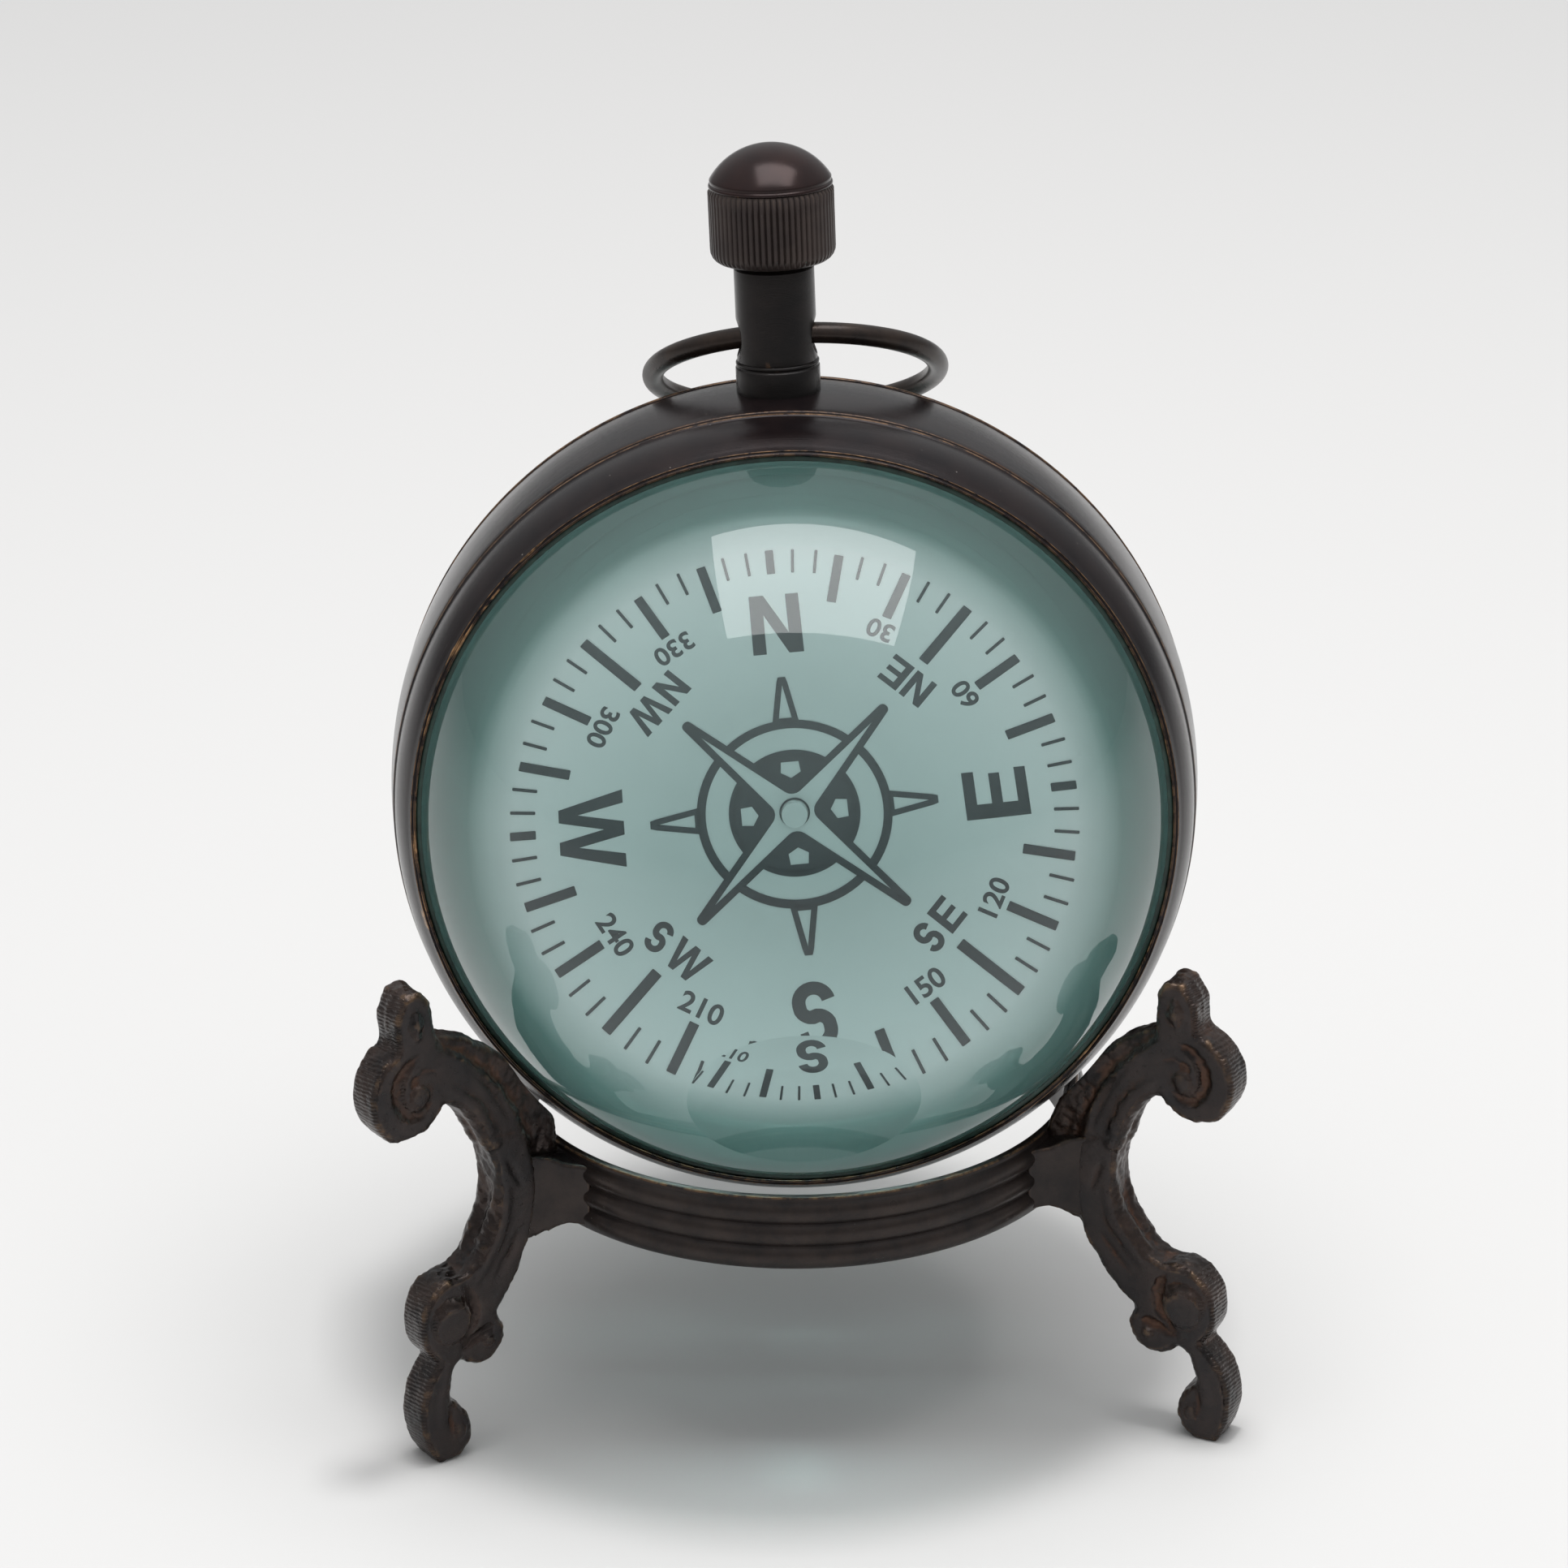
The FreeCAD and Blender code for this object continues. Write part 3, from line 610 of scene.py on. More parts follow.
rear_bezel = lathe("rear_bezel_turned", [(r, -d) for r, d in bezel_outline(8.0, 39.6, 4.3)])
soften(rear_bezel, 0.07)
move_mesh(rear_bezel, SETTLE)
dress(rear_bezel, case_brass, "compass", "case_brass", "rear_bezel")

# %% [markdown]
# ## The two lenses
#
# Each lens is nearly half of a ball. A sphere is cut flat behind by `bisect`, which also
# fills the cut, and the front one loses a small window near its foot, through which the
# scale can be read without the ball's enlargement. The mesh has to be fine, because a
# coarse one would show its facets in everything seen through it.

# %% Lenses
BALL_R = 38.1
FRONT_FLAT = 7.0
REAR_FLAT = 4.5
FACET_TILT = math.radians(38.5)
FACET_DISTANCE = 36.4


def make_lens(name, sign, flat, facet):
    deselect()
    bpy.ops.mesh.primitive_uv_sphere_add(segments=256, ring_count=128, radius=BALL_R * MM,
                                         rotation=(math.radians(90), 0, 0))
    lens = bpy.context.object
    lens.name = name
    bpy.ops.object.transform_apply(rotation=True)
    bpy.ops.object.mode_set(mode="EDIT")
    bpy.ops.mesh.select_all(action="SELECT")
    bpy.ops.mesh.bisect(plane_co=(0, -sign * flat * MM, 0), plane_no=(0, sign, 0),
                        use_fill=True, clear_outer=True, threshold=0.001 * MM)
    if facet:
        normal = Vector((0, -math.cos(FACET_TILT), -math.sin(FACET_TILT)))
        bpy.ops.mesh.select_all(action="SELECT")
        bpy.ops.mesh.bisect(plane_co=normal * FACET_DISTANCE * MM, plane_no=normal,
                            use_fill=True, clear_outer=True, threshold=0.001 * MM)
    close_mesh()
    bpy.ops.object.mode_set(mode="OBJECT")
    bpy.ops.object.shade_smooth_by_angle(angle=math.radians(8))
    move_mesh(lens, SETTLE)
    return lens


front_lens = make_lens("front_lens_polished", 1, FRONT_FLAT, True)
dress(front_lens, lens_glass, "compass", "lens_glass", "front_lens")
rear_lens = make_lens("rear_lens_polished", -1, REAR_FLAT, False)
dress(rear_lens, lens_glass, "compass", "lens_glass", "rear_lens")

# %% [markdown]
# ### The seals
#
# A thin dark green ring shows between the lip and the glass. It is a small turned outline
# that follows the ball, and it keeps metal and glass from touching.

# %% Soft seals between lip and glass
seal_rubber, tree, shader = new_material("seal_rubber")
vector = bench_vector(tree)
mottle = place_group(tree, clouds, vector, Scale=500.0)
tree.links.new(blend_colour(tree, mottle.outputs["Cloud"], (0.006, 0.016, 0.012), (0.02, 0.05, 0.038)),
               shader.inputs["Base Color"])
tree.links.new(remap(tree, mottle.outputs["Speck"], 0, 1, 0.5, 0.8), shader.inputs["Roughness"])


def glass_r(depth):
    return math.sqrt(BALL_R ** 2 - depth ** 2)


def seal_outline(sign):
    show = 11.8
    outline = [(glass_r(9.6) + 0.04, 9.6), (37.03, 9.6), (37.03, 11.16), (36.72, 11.16),
               (36.72, show - 0.1), (36.55, show), (glass_r(show) + 0.04, show),
               (glass_r(10.6) + 0.03, 10.6), (glass_r(9.6) + 0.04, 9.6)]
    return [(r, sign * d) for r, d in outline]


for side, sign in (("front", 1), ("rear", -1)):
    seal = lathe(side + "_seal_ring", seal_outline(sign))
    soften(seal, 0.0)
    move_mesh(seal, SETTLE)
    dress(seal, seal_rubber, "compass", "seal", side + "_lens_seal")

# %% [markdown]
# ## The card
#
# The card is a thin painted disc that turns on a point. Its printing is a thin layer of real
# geometry, so that it stays sharp through the lens: bars every five degrees, letters whose
# feet point outwards, and a compass rose with a four-armed star. Its paint is silvery, with a
# painted highlight at the scale and painted shade, darker and greener outside it, both given
# by a blend by the distance from the middle.

# %% Card finishes
# silvery in the middle, with a painted highlight brightest at the scale, and painted shade, darker and
# blue-green, outside it
card_paint, tree, shader = new_material("card_paint")
vector = bench_vector(tree)
mottle = place_group(tree, clouds, vector, Scale=90.0)
place = add_node(tree, "ShaderNodeSeparateXYZ")
tree.links.new(vector, place.inputs[0])
wide = math_node(tree, "POWER", place.outputs["X"], 2.0)
high = math_node(tree, "POWER", place.outputs["Z"], 2.0)
from_middle = math_node(tree, "SQRT", math_node(tree, "ADD", wide, high), 0.0)
silver = blend_colour(tree, mottle.outputs["Cloud"], (0.70, 0.72, 0.71), (0.75, 0.77, 0.76))
# painted highlight: a pale ring at the scale, where the ball gathers light on the card
silver = blend_colour(tree, remap(tree, from_middle, 0.008, 0.0185), silver, (0.92, 0.93, 0.92))
# painted shade: darker and blue-green outside the scale, where the case shades the card
card_colour_with_painted_light = blend_colour(tree, remap(tree, from_middle, 0.0205, 0.0250), silver, (0.30, 0.46, 0.43))
tree.links.new(card_colour_with_painted_light, shader.inputs["Base Color"])
tree.links.new(remap(tree, mottle.outputs["Smudge"], 0, 1, 0.42, 0.55), shader.inputs["Roughness"])

ink, tree, shader = new_material("dial_ink")
vector = bench_vector(tree)
mottle = place_group(tree, clouds, vector, Scale=700.0)
tree.links.new(blend_colour(tree, mottle.outputs["Speck"], (0.035, 0.038, 0.044), (0.075, 0.08, 0.088)),
               shader.inputs["Base Color"])
tree.links.new(remap(tree, mottle.outputs["Cloud"], 0, 1, 0.5, 0.7), shader.inputs["Roughness"])

# %% [markdown]
# ### The card blank
#
# The blank is a thin disc with a hole for its hub. It could be a cylinder, but spun from an
# outline it gets its hole and its soft edges in one go.

# %% Card blank
CARD_FACE = 6.3
CARD_R = 33.0
HUB_R = 0.92
CARD_TURN = math.radians(-3.25)
CARD_PLACE = SETTLE @ Matrix.Rotation(CARD_TURN, 4, "Y")

card = lathe("card_disc", [(HUB_R, CARD_FACE - 0.3), (CARD_R, CARD_FACE - 0.3), (CARD_R, CARD_FACE),
                           (HUB_R, CARD_FACE), (HUB_R, CARD_FACE - 0.3)], steps=128)
soften(card, 0.06, 2)
move_mesh(card, CARD_PLACE)
dress(card, card_paint, "card", "card_paint", "compass_card")

# %% [markdown]
# ### The bars
#
# Seventy-two bars mark the scale, long and broad at the main directions. Each is a cube made
# flat and bevelled, and turned to its angle by one matrix.

# %% Printing: bars
INK = 0.02
prints = []


def print_place(angle, radius):
    """From a flat drawing with its foot towards -Y to its place on the card, foot outwards."""
    stand_up = Matrix.Rotation(math.radians(90), 4, "X")
    out = Matrix.Translation((0, -(CARD_FACE + INK / 2) * MM, radius * MM))
    return Matrix.Rotation(math.radians(angle), 4, "Y") @ out @ Matrix.Rotation(math.pi, 4, "Y") @ stand_up


def bar_size(angle):
    """(inner radius, outer radius, width) of the bar at an angle."""
    if angle % 90 == 0:
        return 18.7, 20.85, 0.62
    if angle % 45 == 0:
        return 14.75, 20.7, 0.78
    if angle % 15 == 0:
        return 16.4, 20.6, 0.70
    return 18.75, 20.85, 0.22


for angle in range(0, 360, 5):
    inner, outer, width = bar_size(angle)
    deselect()
    bpy.ops.mesh.primitive_cube_add(size=1)
    bar = bpy.context.object
    bpy.ops.object.mode_set(mode="EDIT")
    bpy.ops.transform.resize(value=(width * MM, (outer - inner) * MM, INK * MM))
    bpy.ops.mesh.bevel(offset=0.05 * MM, segments=2, affect="EDGES")
    bpy.ops.object.mode_set(mode="OBJECT")
    move_mesh(bar, print_place(angle, (inner + outer) / 2))
    prints.append(bar)
print(len(prints), "bars")

# %% [markdown]
# ### The numbers
#
# Small numbers stand between the letters, with their feet outwards. A text object is the quick
# way: it is thickened, made a mesh, and only then put in its place.

# %% Printing: numbers


def print_text(words, angle, radius, height, heavy):
    deselect()
    bpy.ops.object.text_add()
    text = bpy.context.object
    text.data.body = words
    text.data.align_x = "CENTER"
    text.data.align_y = "CENTER"
    text.data.size = height / 0.70 * MM
    text.data.offset = heavy * MM
    text.data.extrude = INK / 2 * MM
    text.data.space_character = 1.02
    bpy.ops.object.convert(target="MESH")
    piece = bpy.context.object
    move_mesh(piece, print_place(angle, radius))
    prints.append(piece)


NUMBER_R, NUMBER_HEIGHT, NUMBER_WEIGHT = 15.3, 1.45, 0.045
for angle in (30, 60, 120, 150, 210, 240, 300, 330):
    print_text(str(angle), angle, NUMBER_R, NUMBER_HEIGHT, NUMBER_WEIGHT)
print(len(prints), "bars and numbers")

# %% [markdown]
# ### The letters
#
# The direction letters are broad and plain, with slanting cuts that a stock typeface does
# not have, so they are traced from corners, and the S is a broad stroke along two arcs.

# %% Printing: letters, drawn as plain strokes


def flat_ngon(name, corners):
    """A flat face from corners in millimetres, left in edit mode."""
    piece = trace(name, [Vector((x, y, 0)) * MM for x, y in corners])
    bpy.ops.mesh.select_all(action="SELECT")
    bpy.ops.mesh.edge_face_add()
    return piece


def thicken():
    """Give a flat print its thickness, and leave edit mode."""
    bpy.ops.mesh.select_all(action="SELECT")
    bpy.ops.mesh.extrude_region_move(TRANSFORM_OT_translate={"value": (0, 0, INK * MM)})
    close_mesh()
    bpy.ops.object.mode_set(mode="OBJECT")


def ribbon(spine, width):
    """The outline of a broad stroke along a spine."""
    sides = ([], [])
    for i, here in enumerate(spine):
        before, after = spine[max(i - 1, 0)], spine[min(i + 1, len(spine) - 1)]
        along = Vector((after[0] - before[0], after[1] - before[1])).normalized() * width / 2
        sides[0].append((here[0] - along.y, here[1] + along.x))
        sides[1].append((here[0] + along.y, here[1] - along.x))
    return sides[0] + sides[1][::-1]


S_SPINE = arc((0.39, 0.70), 0.21, 10, 190, 14) + arc((0.38, 0.685), 0.21, 210, 262, 5)
S_SPINE += [(0.78 - x, 0.995 - y) for x, y in S_SPINE[::-1]]
GLYPHS = {
    "N": (0.76, [(0, 0), (0.2, 0), (0.2, 0.66), (0.54, 0), (0.76, 0), (0.76, 1), (0.56, 1), (0.56, 0.34),
                 (0.22, 1), (0, 1)]),
    "E": (0.74, [(0, 0), (0.74, 0), (0.74, 0.18), (0.22, 0.18), (0.22, 0.42), (0.68, 0.42), (0.68, 0.59),
                 (0.22, 0.59), (0.22, 0.82), (0.72, 0.82), (0.72, 1), (0, 1)]),
    "W": (1.16, [(0, 1), (0.2, 1), (0.335, 0.3), (0.48, 1), (0.68, 1), (0.825, 0.3), (0.96, 1), (1.16, 1),
                 (0.92, 0), (0.73, 0), (0.58, 0.7), (0.43, 0), (0.24, 0)]),
    "S": (0.78, ribbon(S_SPINE, 0.19)),
}


def print_letters(words, angle, radius, height, gap=0.12):
    """Letters side by side, centred at a radius of the card."""
    total = sum(GLYPHS[letter][0] for letter in words) + gap * (len(words) - 1)
    start = -total / 2
    for letter in words:
        width, shape = GLYPHS[letter]
        piece = flat_ngon("letter", [((start + x) * height, (y - 0.5) * height) for x, y in shape])
        thicken()
        move_mesh(piece, print_place(angle, radius) @ Matrix.Translation((0, 0, -INK / 2 * MM)))
        prints.append(piece)
        start += width + gap


LETTER_R, LETTER_HEIGHT = 14.4, 4.85
PAIR_R, PAIR_HEIGHT = 12.75, 2.35
for quarter, words in enumerate("NESW"):
    print_letters(words, quarter * 90, LETTER_R, LETTER_HEIGHT)
for angle, words in zip((45, 135, 225, 315), ("NE", "SE", "SW", "NW")):
    print_letters(words, angle, PAIR_R, PAIR_HEIGHT)
print(len(prints), "printed marks")

# %% [markdown]
# ### The rose
#
# The rose is a four-armed star over two rings, with small spikes between. The outlined shapes
# are faces that are inset and lose their middle; the dark corners are cut with a window.

# %% Printing: the rose


def frame_of(corners, line, tip=0.0):
    """The outline of a shape as a band: the face is inset and its middle removed."""
    piece = flat_ngon("rose_part", corners)
    if tip:
        bpy.ops.mesh.bevel(offset=tip * MM, segments=4, affect="VERTICES")
    bpy.ops.mesh.select_all(action="SELECT")
    bpy.ops.mesh.inset(thickness=line * MM)
    bpy.ops.mesh.delete(type="FACE")
    thicken()
    return piece


def polar(radius, angle):
    """A point at an angle clockwise from north."""
    return radius * math.sin(math.radians(angle)), radius * math.cos(math.radians(angle))


STAR_TIP = 10.6
STAR_WAIST = 1.75
STAR_LINE = 0.5
STAR_BLUNT = 0.35
STAR_ROUND = 0.3
STAR_HALF_TIP = 1.9        # degrees
OUTER_RING = (6.18, 6.80)
INNER_RING = (4.12, 4.56)
SPIKE_LINE = 0.42
SPIKE = ((6.6, 8.4), (9.7, 2.3), (10.1, 1.5))              # (radius, half its angle)
WINDOW = ((3.0, 13.5), (3.75, 9.5))
WINDOW_FOOT = 2.5
CORNER_R = 4.3
ROSE_PLACE = Matrix.Translation((0, -(CARD_FACE + INK) * MM, 0)) @ Matrix.Rotation(math.radians(90), 4, "X")

star_corners = []
for i in range(4):
    star_corners.append(polar(STAR_WAIST, 90 * i))
    for side in (-1, 1):
        star_corners.append(polar(STAR_TIP - STAR_BLUNT, 45 + 90 * i + STAR_HALF_TIP * side))
star = frame_of(star_corners, STAR_LINE, STAR_ROUND)
rose = [star]


def star_edge_angle(radius):
    """Angle from north at which the star's edge crosses a circle."""
    waist, tip = Vector(polar(STAR_WAIST, 0)), Vector(polar(STAR_TIP, 45))
    low, high = 0.0, 1.0
    for _ in range(40):
        middle = (low + high) / 2
        if waist.lerp(tip, middle).length < radius:
            low = middle
        else:
            high = middle
    point = waist.lerp(tip, low)
    return math.degrees(math.atan2(point.x, point.y))


def sector(inner, outer, turn):
    """Part of a flat ring between two arms of the star."""
    outside = star_edge_angle(outer) - 0.5
    inside = star_edge_angle(inner) - 0.5
    rim = [polar(outer, turn - outside + 2 * outside * i / 16) for i in range(17)]
    rim += [polar(inner, turn + inside - 2 * inside * i / 16) for i in range(17)]
    piece = flat_ngon("rose_part", rim)
    thicken()
    return piece


for quarter in range(4):
    turn = 90 * quarter
    rose.append(sector(*OUTER_RING, turn))
    rose.append(sector(*INNER_RING, turn))
    # a small spike outside the ring
    spike_corners = [polar(r, turn - half) for r, half in SPIKE]
    spike_corners += [polar(r, turn + half) for r, half in SPIKE[::-1]]
    spike = frame_of(spike_corners, SPIKE_LINE)
    rose.append(spike)
    # the dark corner between two arms, with a light window
    reach = star_edge_angle(CORNER_R) - 0.5
    corner = [polar(STAR_WAIST, turn)]
    corner += [polar(CORNER_R, turn + reach - 2 * reach * i / 10) for i in range(11)]
    blade = flat_ngon("rose_part", corner)
    thicken()
    window = [polar(WINDOW_FOOT, turn)] + [polar(r, turn + half) for r, half in WINDOW]
    window += [polar(r, turn - half) for r, half in WINDOW[::-1]]
    hole = flat_ngon("rose_window", window)
    thicken()
    move_mesh(hole, Matrix.Diagonal((1, 1, 5, 1)) @ Matrix.Translation((0, 0, -INK * MM / 2)))
    deselect()
    bpy.context.view_layer.objects.active = blade
    cut = blade.modifiers.new("window", "BOOLEAN")
    cut.operation = "DIFFERENCE"
    cut.object = hole
    cut.solver = "EXACT"
    bpy.ops.object.modifier_apply(modifier=cut.name)
    bpy.data.objects.remove(hole)
    rose.append(blade)
hub_line = lathe("rose_part", [(0.95, 0), (1.06, 0), (1.06, INK), (0.95, INK), (0.95, 0)],
                 upright=True, steps=48)
rose.append(hub_line)
for piece in rose:
    move_mesh(piece, ROSE_PLACE)
prints += rose

# %% [markdown]
# ### One print
#
# On the real card all of this is one layer of ink, so the marks become one piece.

# %% Join the printing and lay it on the card
deselect()
for piece in prints:
    piece.select_set(True)
bpy.context.view_layer.objects.active = prints[0]
bpy.ops.object.join()
printing = bpy.context.object
printing.name = "card_printing"
move_mesh(printing, CARD_PLACE)
dress(printing, ink, "card", "ink", "card_print")

# %% [markdown]
# ## Neck, crown and bow
#
# The neck is a plain turned stem with a collar, and a cross hole for the bow. The hole is cut
# with a cylinder, while the stem still stands upright on the bench.

# %% Neck and ferrule
FERRULE_OUTLINE = [(2.55, 38.9), (4.12, 38.9), (4.12, 42.05), (3.98, 42.15), (3.98, 42.3), (4.08, 42.38),
                   (4.08, 42.6), (3.94, 42.7), (2.55, 42.7), (2.55, 38.9)]
NECK_OUTLINE = [(0, 38.8), (2.5, 38.8), (2.5, 42.72), (3.92, 42.72), (3.92, 51.9), (3.6, 52.2), (1.62, 52.2),
                (1.62, 47.6), (0, 47.6)]
HOLE_R = 1.92              # cross hole for the bow
to_neck = Matrix.Translation((0, NECK_Y * MM, 0))


def cut_with(piece, tool):
    """Boolean difference, applied, and the tool removed."""
    deselect()
    bpy.context.view_layer.objects.active = piece
    cut = piece.modifiers.new("cut", "BOOLEAN")
    cut.operation = "DIFFERENCE"
    cut.object = tool
    cut.solver = "EXACT"
    bpy.ops.object.modifier_apply(modifier=cut.name)
    bpy.data.objects.remove(tool)


neck = lathe("pendant_neck_turned", NECK_OUTLINE, upright=True, steps=96)
move_mesh(neck, to_neck)
deselect()
bpy.ops.mesh.primitive_cylinder_add(vertices=64, radius=HOLE_R * MM, depth=12 * MM,
                                    location=(0, NECK_Y * MM, HOLE_Z * MM), rotation=(0, math.radians(90), 0))
cut_with(neck, bpy.context.object)
soften(neck, 0.14, 3)
move_mesh(neck, SETTLE)
dress(neck, neck_brass, "compass", "case_brass", "pendant_neck")

ferrule = lathe("pendant_ferrule_turned", FERRULE_OUTLINE, upright=True, steps=96)
soften(ferrule, 0.06, 2)
move_mesh(ferrule, SETTLE @ to_neck)
dress(ferrule, neck_brass, "compass", "case_brass", "pendant_ferrule")

# %% [markdown]
# ### The crown sleeve
#
# The sleeve is knurled so that fingers can grip it. A cylinder with four vertices to each
# flute has every fourth line pulled in, which is cleaner than cutting each groove.

# %% Crown sleeve
CROWN_FOOT, CROWN_SHOULDER, CROWN_TOP = 52.55, 60.0, 64.1
FLUTES = 64
PULL_IN = 0.968
SLEEVE_OUTLINE = ([(1.67, CROWN_FOOT), (4.6, CROWN_FOOT)]
                  + through((4.6, CROWN_FOOT), (5.75, 52.95), (6.12, 53.95), 6)
                  + [(6.14, 59.55), (5.9, 59.95), (2.9, 59.98), (2.9, 59.5), (1.67, 59.5),
                     (1.67, CROWN_FOOT)])
sleeve = lathe("crown_knurled", SLEEVE_OUTLINE, upright=True, steps=4 * FLUTES)
bpy.ops.object.mode_set(mode="EDIT")
bpy.ops.mesh.select_all(action="DESELECT")
bpy.ops.mesh.select_mode(type="VERT")
net = bmesh.from_edit_mesh(sleeve.data)
for vertex in net.verts:
    around = math.degrees(math.atan2(vertex.co.y, vertex.co.x)) * 4 * FLUTES / 360
    outside = math.hypot(vertex.co.x, vertex.co.y) > 5.7 * MM
    vertex.select = outside and round(around) % 4 == 0 and vertex.co.z < 59.9 * MM
net.select_flush_mode()
bmesh.update_edit_mesh(sleeve.data)
bpy.ops.transform.resize(value=(PULL_IN, PULL_IN, 1.0))
bpy.ops.object.mode_set(mode="OBJECT")
soften(sleeve, 0.0)
move_mesh(sleeve, SETTLE @ to_neck)
dress(sleeve, crown_brass, "crown", "crown_brass", "crown")

# %% [markdown]
# ### The crown cap
#
# A polished dome closes the sleeve, with a fine ring round its foot. Its curve is a piece of
# a circle, worked out from its width and its rise.

# %% Crown cap
RIM_R = 5.95
rise = CROWN_TOP - CROWN_SHOULDER - 0.75
dome_r = (RIM_R ** 2 + rise ** 2) / (2 * rise)
dome_span = math.degrees(math.asin(RIM_R / dome_r))
DOME = [(dome_r * math.sin(math.radians(a)), CROWN_TOP - dome_r + dome_r * math.cos(math.radians(a)))
        for a in [dome_span * (1 - i / 18) for i in range(19)]]
CAP_OUTLINE = ([(2.9, CROWN_SHOULDER), (6.02, CROWN_SHOULDER), (6.08, CROWN_SHOULDER + 0.15),
                (6.02, CROWN_SHOULDER + 0.32), (5.88, CROWN_SHOULDER + 0.4), (5.93, CROWN_SHOULDER + 0.55)]
               + DOME + [(0, 61.2), (2.9, 61.2), (2.9, CROWN_SHOULDER)])
cap = lathe("crown_dome", CAP_OUTLINE, upright=True, steps=128)
soften(cap, 0.05, 2)
move_mesh(cap, SETTLE @ to_neck)
dress(cap, crown_polish, "crown", "crown_polish", "crown_cap")

# %% [markdown]
# ### The bow
#
# The bow is a closed wire ring through the neck. A torus has the right shape, and it is
# pressed a little flat, as it has rubbed on the neck.

# %% Bow
BOW_R, BOW_WIRE, BOW_SAG, BOW_SHIFT = 14.1, 1.055, 0.56, 1.6
BOW_REST = math.radians(119)
deselect()
bpy.ops.mesh.primitive_torus_add(major_segments=192, minor_segments=28, major_radius=BOW_R * MM,
                                 minor_radius=BOW_WIRE * MM)
bow = bpy.context.object
bow.name = "bow_wire_ring"
bpy.ops.object.mode_set(mode="EDIT")
bpy.ops.transform.resize(value=(1, 1, 0.985))
bpy.ops.object.mode_set(mode="OBJECT")
bpy.ops.object.shade_smooth()
hang = (Matrix.Translation((0, NECK_Y * MM, HOLE_Z * MM)) @ Matrix.Rotation(-BOW_REST, 4, "X")
        @ Matrix.Translation((BOW_SHIFT * MM, 0, (BOW_R - BOW_SAG) * MM))
        @ Matrix.Rotation(math.radians(90), 4, "X"))
move_mesh(bow, SETTLE @ hang)
dress(bow, bow_brass, "bow", "bow_wire", "bow_ring")

# %% [markdown]
# ## The stand's ring
#
# The ring is turned with three soft beads and a bevel inside its top edge, where the
# compass sits. It was handled more than the legs, so its beads are worn on their crowns.

# %% Ring
RING_R, RING_IN = 29.0, 27.0
ring_base, ring_top = ring_low.z / MM, ring_high.z / MM
bead = (ring_top - 0.5 - ring_base) / 3
RING_OUTLINE = [(RING_IN + 0.2, ring_base), (RING_R - 0.5, ring_base)]
for i in range(3):
    low = ring_base + i * bead
    RING_OUTLINE += through((RING_R - 0.5, low + 0.06), (RING_R - 0.02, low + bead / 2),
                            (RING_R - 0.5, low + bead - 0.06), 8)
    RING_OUTLINE.append((RING_R - 0.58, low + bead))
RING_OUTLINE += [(RING_R - 0.6, ring_top - 0.12), (RING_R - 0.75, ring_top), (RING_IN + 0.6, ring_top),
                 (RING_IN + 0.03, ring_top - 0.8), (RING_IN + 0.03, ring_base + 0.2),
                 (RING_IN + 0.2, ring_base)]
ring = lathe("stand_ring_turned", RING_OUTLINE, upright=True, steps=256)
soften(ring, 0.1, 2)
move_mesh(ring, Matrix.Translation((stand_axis.x, stand_axis.y, 0)))
dress(ring, ring_brass, "stand", "stand_brass", "stand_ring")

# %% [markdown]
# ## The legs
#
# The legs are sand castings of one pattern, filed by hand. The pattern is a thick plate in
# the shape of a scroll, with a ball at the knee, a hollow in the scroll and a leaf step on
# the arm. The plate is traced and bevelled, balls and ridges are added, hollows are cut with
# tubes, and a voxel remesh then melts everything into one skin, as molten brass would. The
# remesh is followed by smoothing and by a fine displacement for the sand.

# %% The leg's outlines
LEG_START = (41.3, 45.2)
LEG_OUTER = [
    ((41.6, 48.2),), ((42.7, 49.8),), ((44.5, 49.5),), ((45.7, 47.4),), ((45.7, 44.3),),
    ((49.3, 39.8), (47.6, 35.45)), ((44.8, 35.05), (41.3, 37.5)),
    ((37.8, 33.5), (36.25, 27.6)), ((36.85, 23.4), (41.0, 18.9)),
    ((44.7, 18.1), (46.3, 15.0)), ((46.1, 12.6), (44.7, 10.7)),
    ((47.5, 4.8), (45.9, 0.15)), ((43.5, 0.15),),
    ((41.9, 3.2), (43.9, 6.2)), ((43.85, 8.3), (42.2, 10.25)),
    ((38.05, 9.65), (37.85, 13.7)),
]
SCROLL_INNER = [((33.5, 19.4), (31.6, 25.4)), ((32.8, 32.4), (36.1, 38.8)), ((38.5, 41.3), (41.2, 43.6))]
CORE_INNER = [((34.5, 17.8), (31.9, 22.1)), ((28.5, 23.3),), ((28.5, 30.7),), ((31.2, 36.6), (36.1, 41.5)),
              ((38.5, 43.2), (41.1, 44.1))]


def leg_points(inner):
    """The outline with its arcs filled in."""
    found = [LEG_START]
    for step in LEG_OUTER + inner:
        if len(step) == 1:
            found.append(step[0])
        else:
            found += through(found[-1], step[0], step[1], 12)
    return found


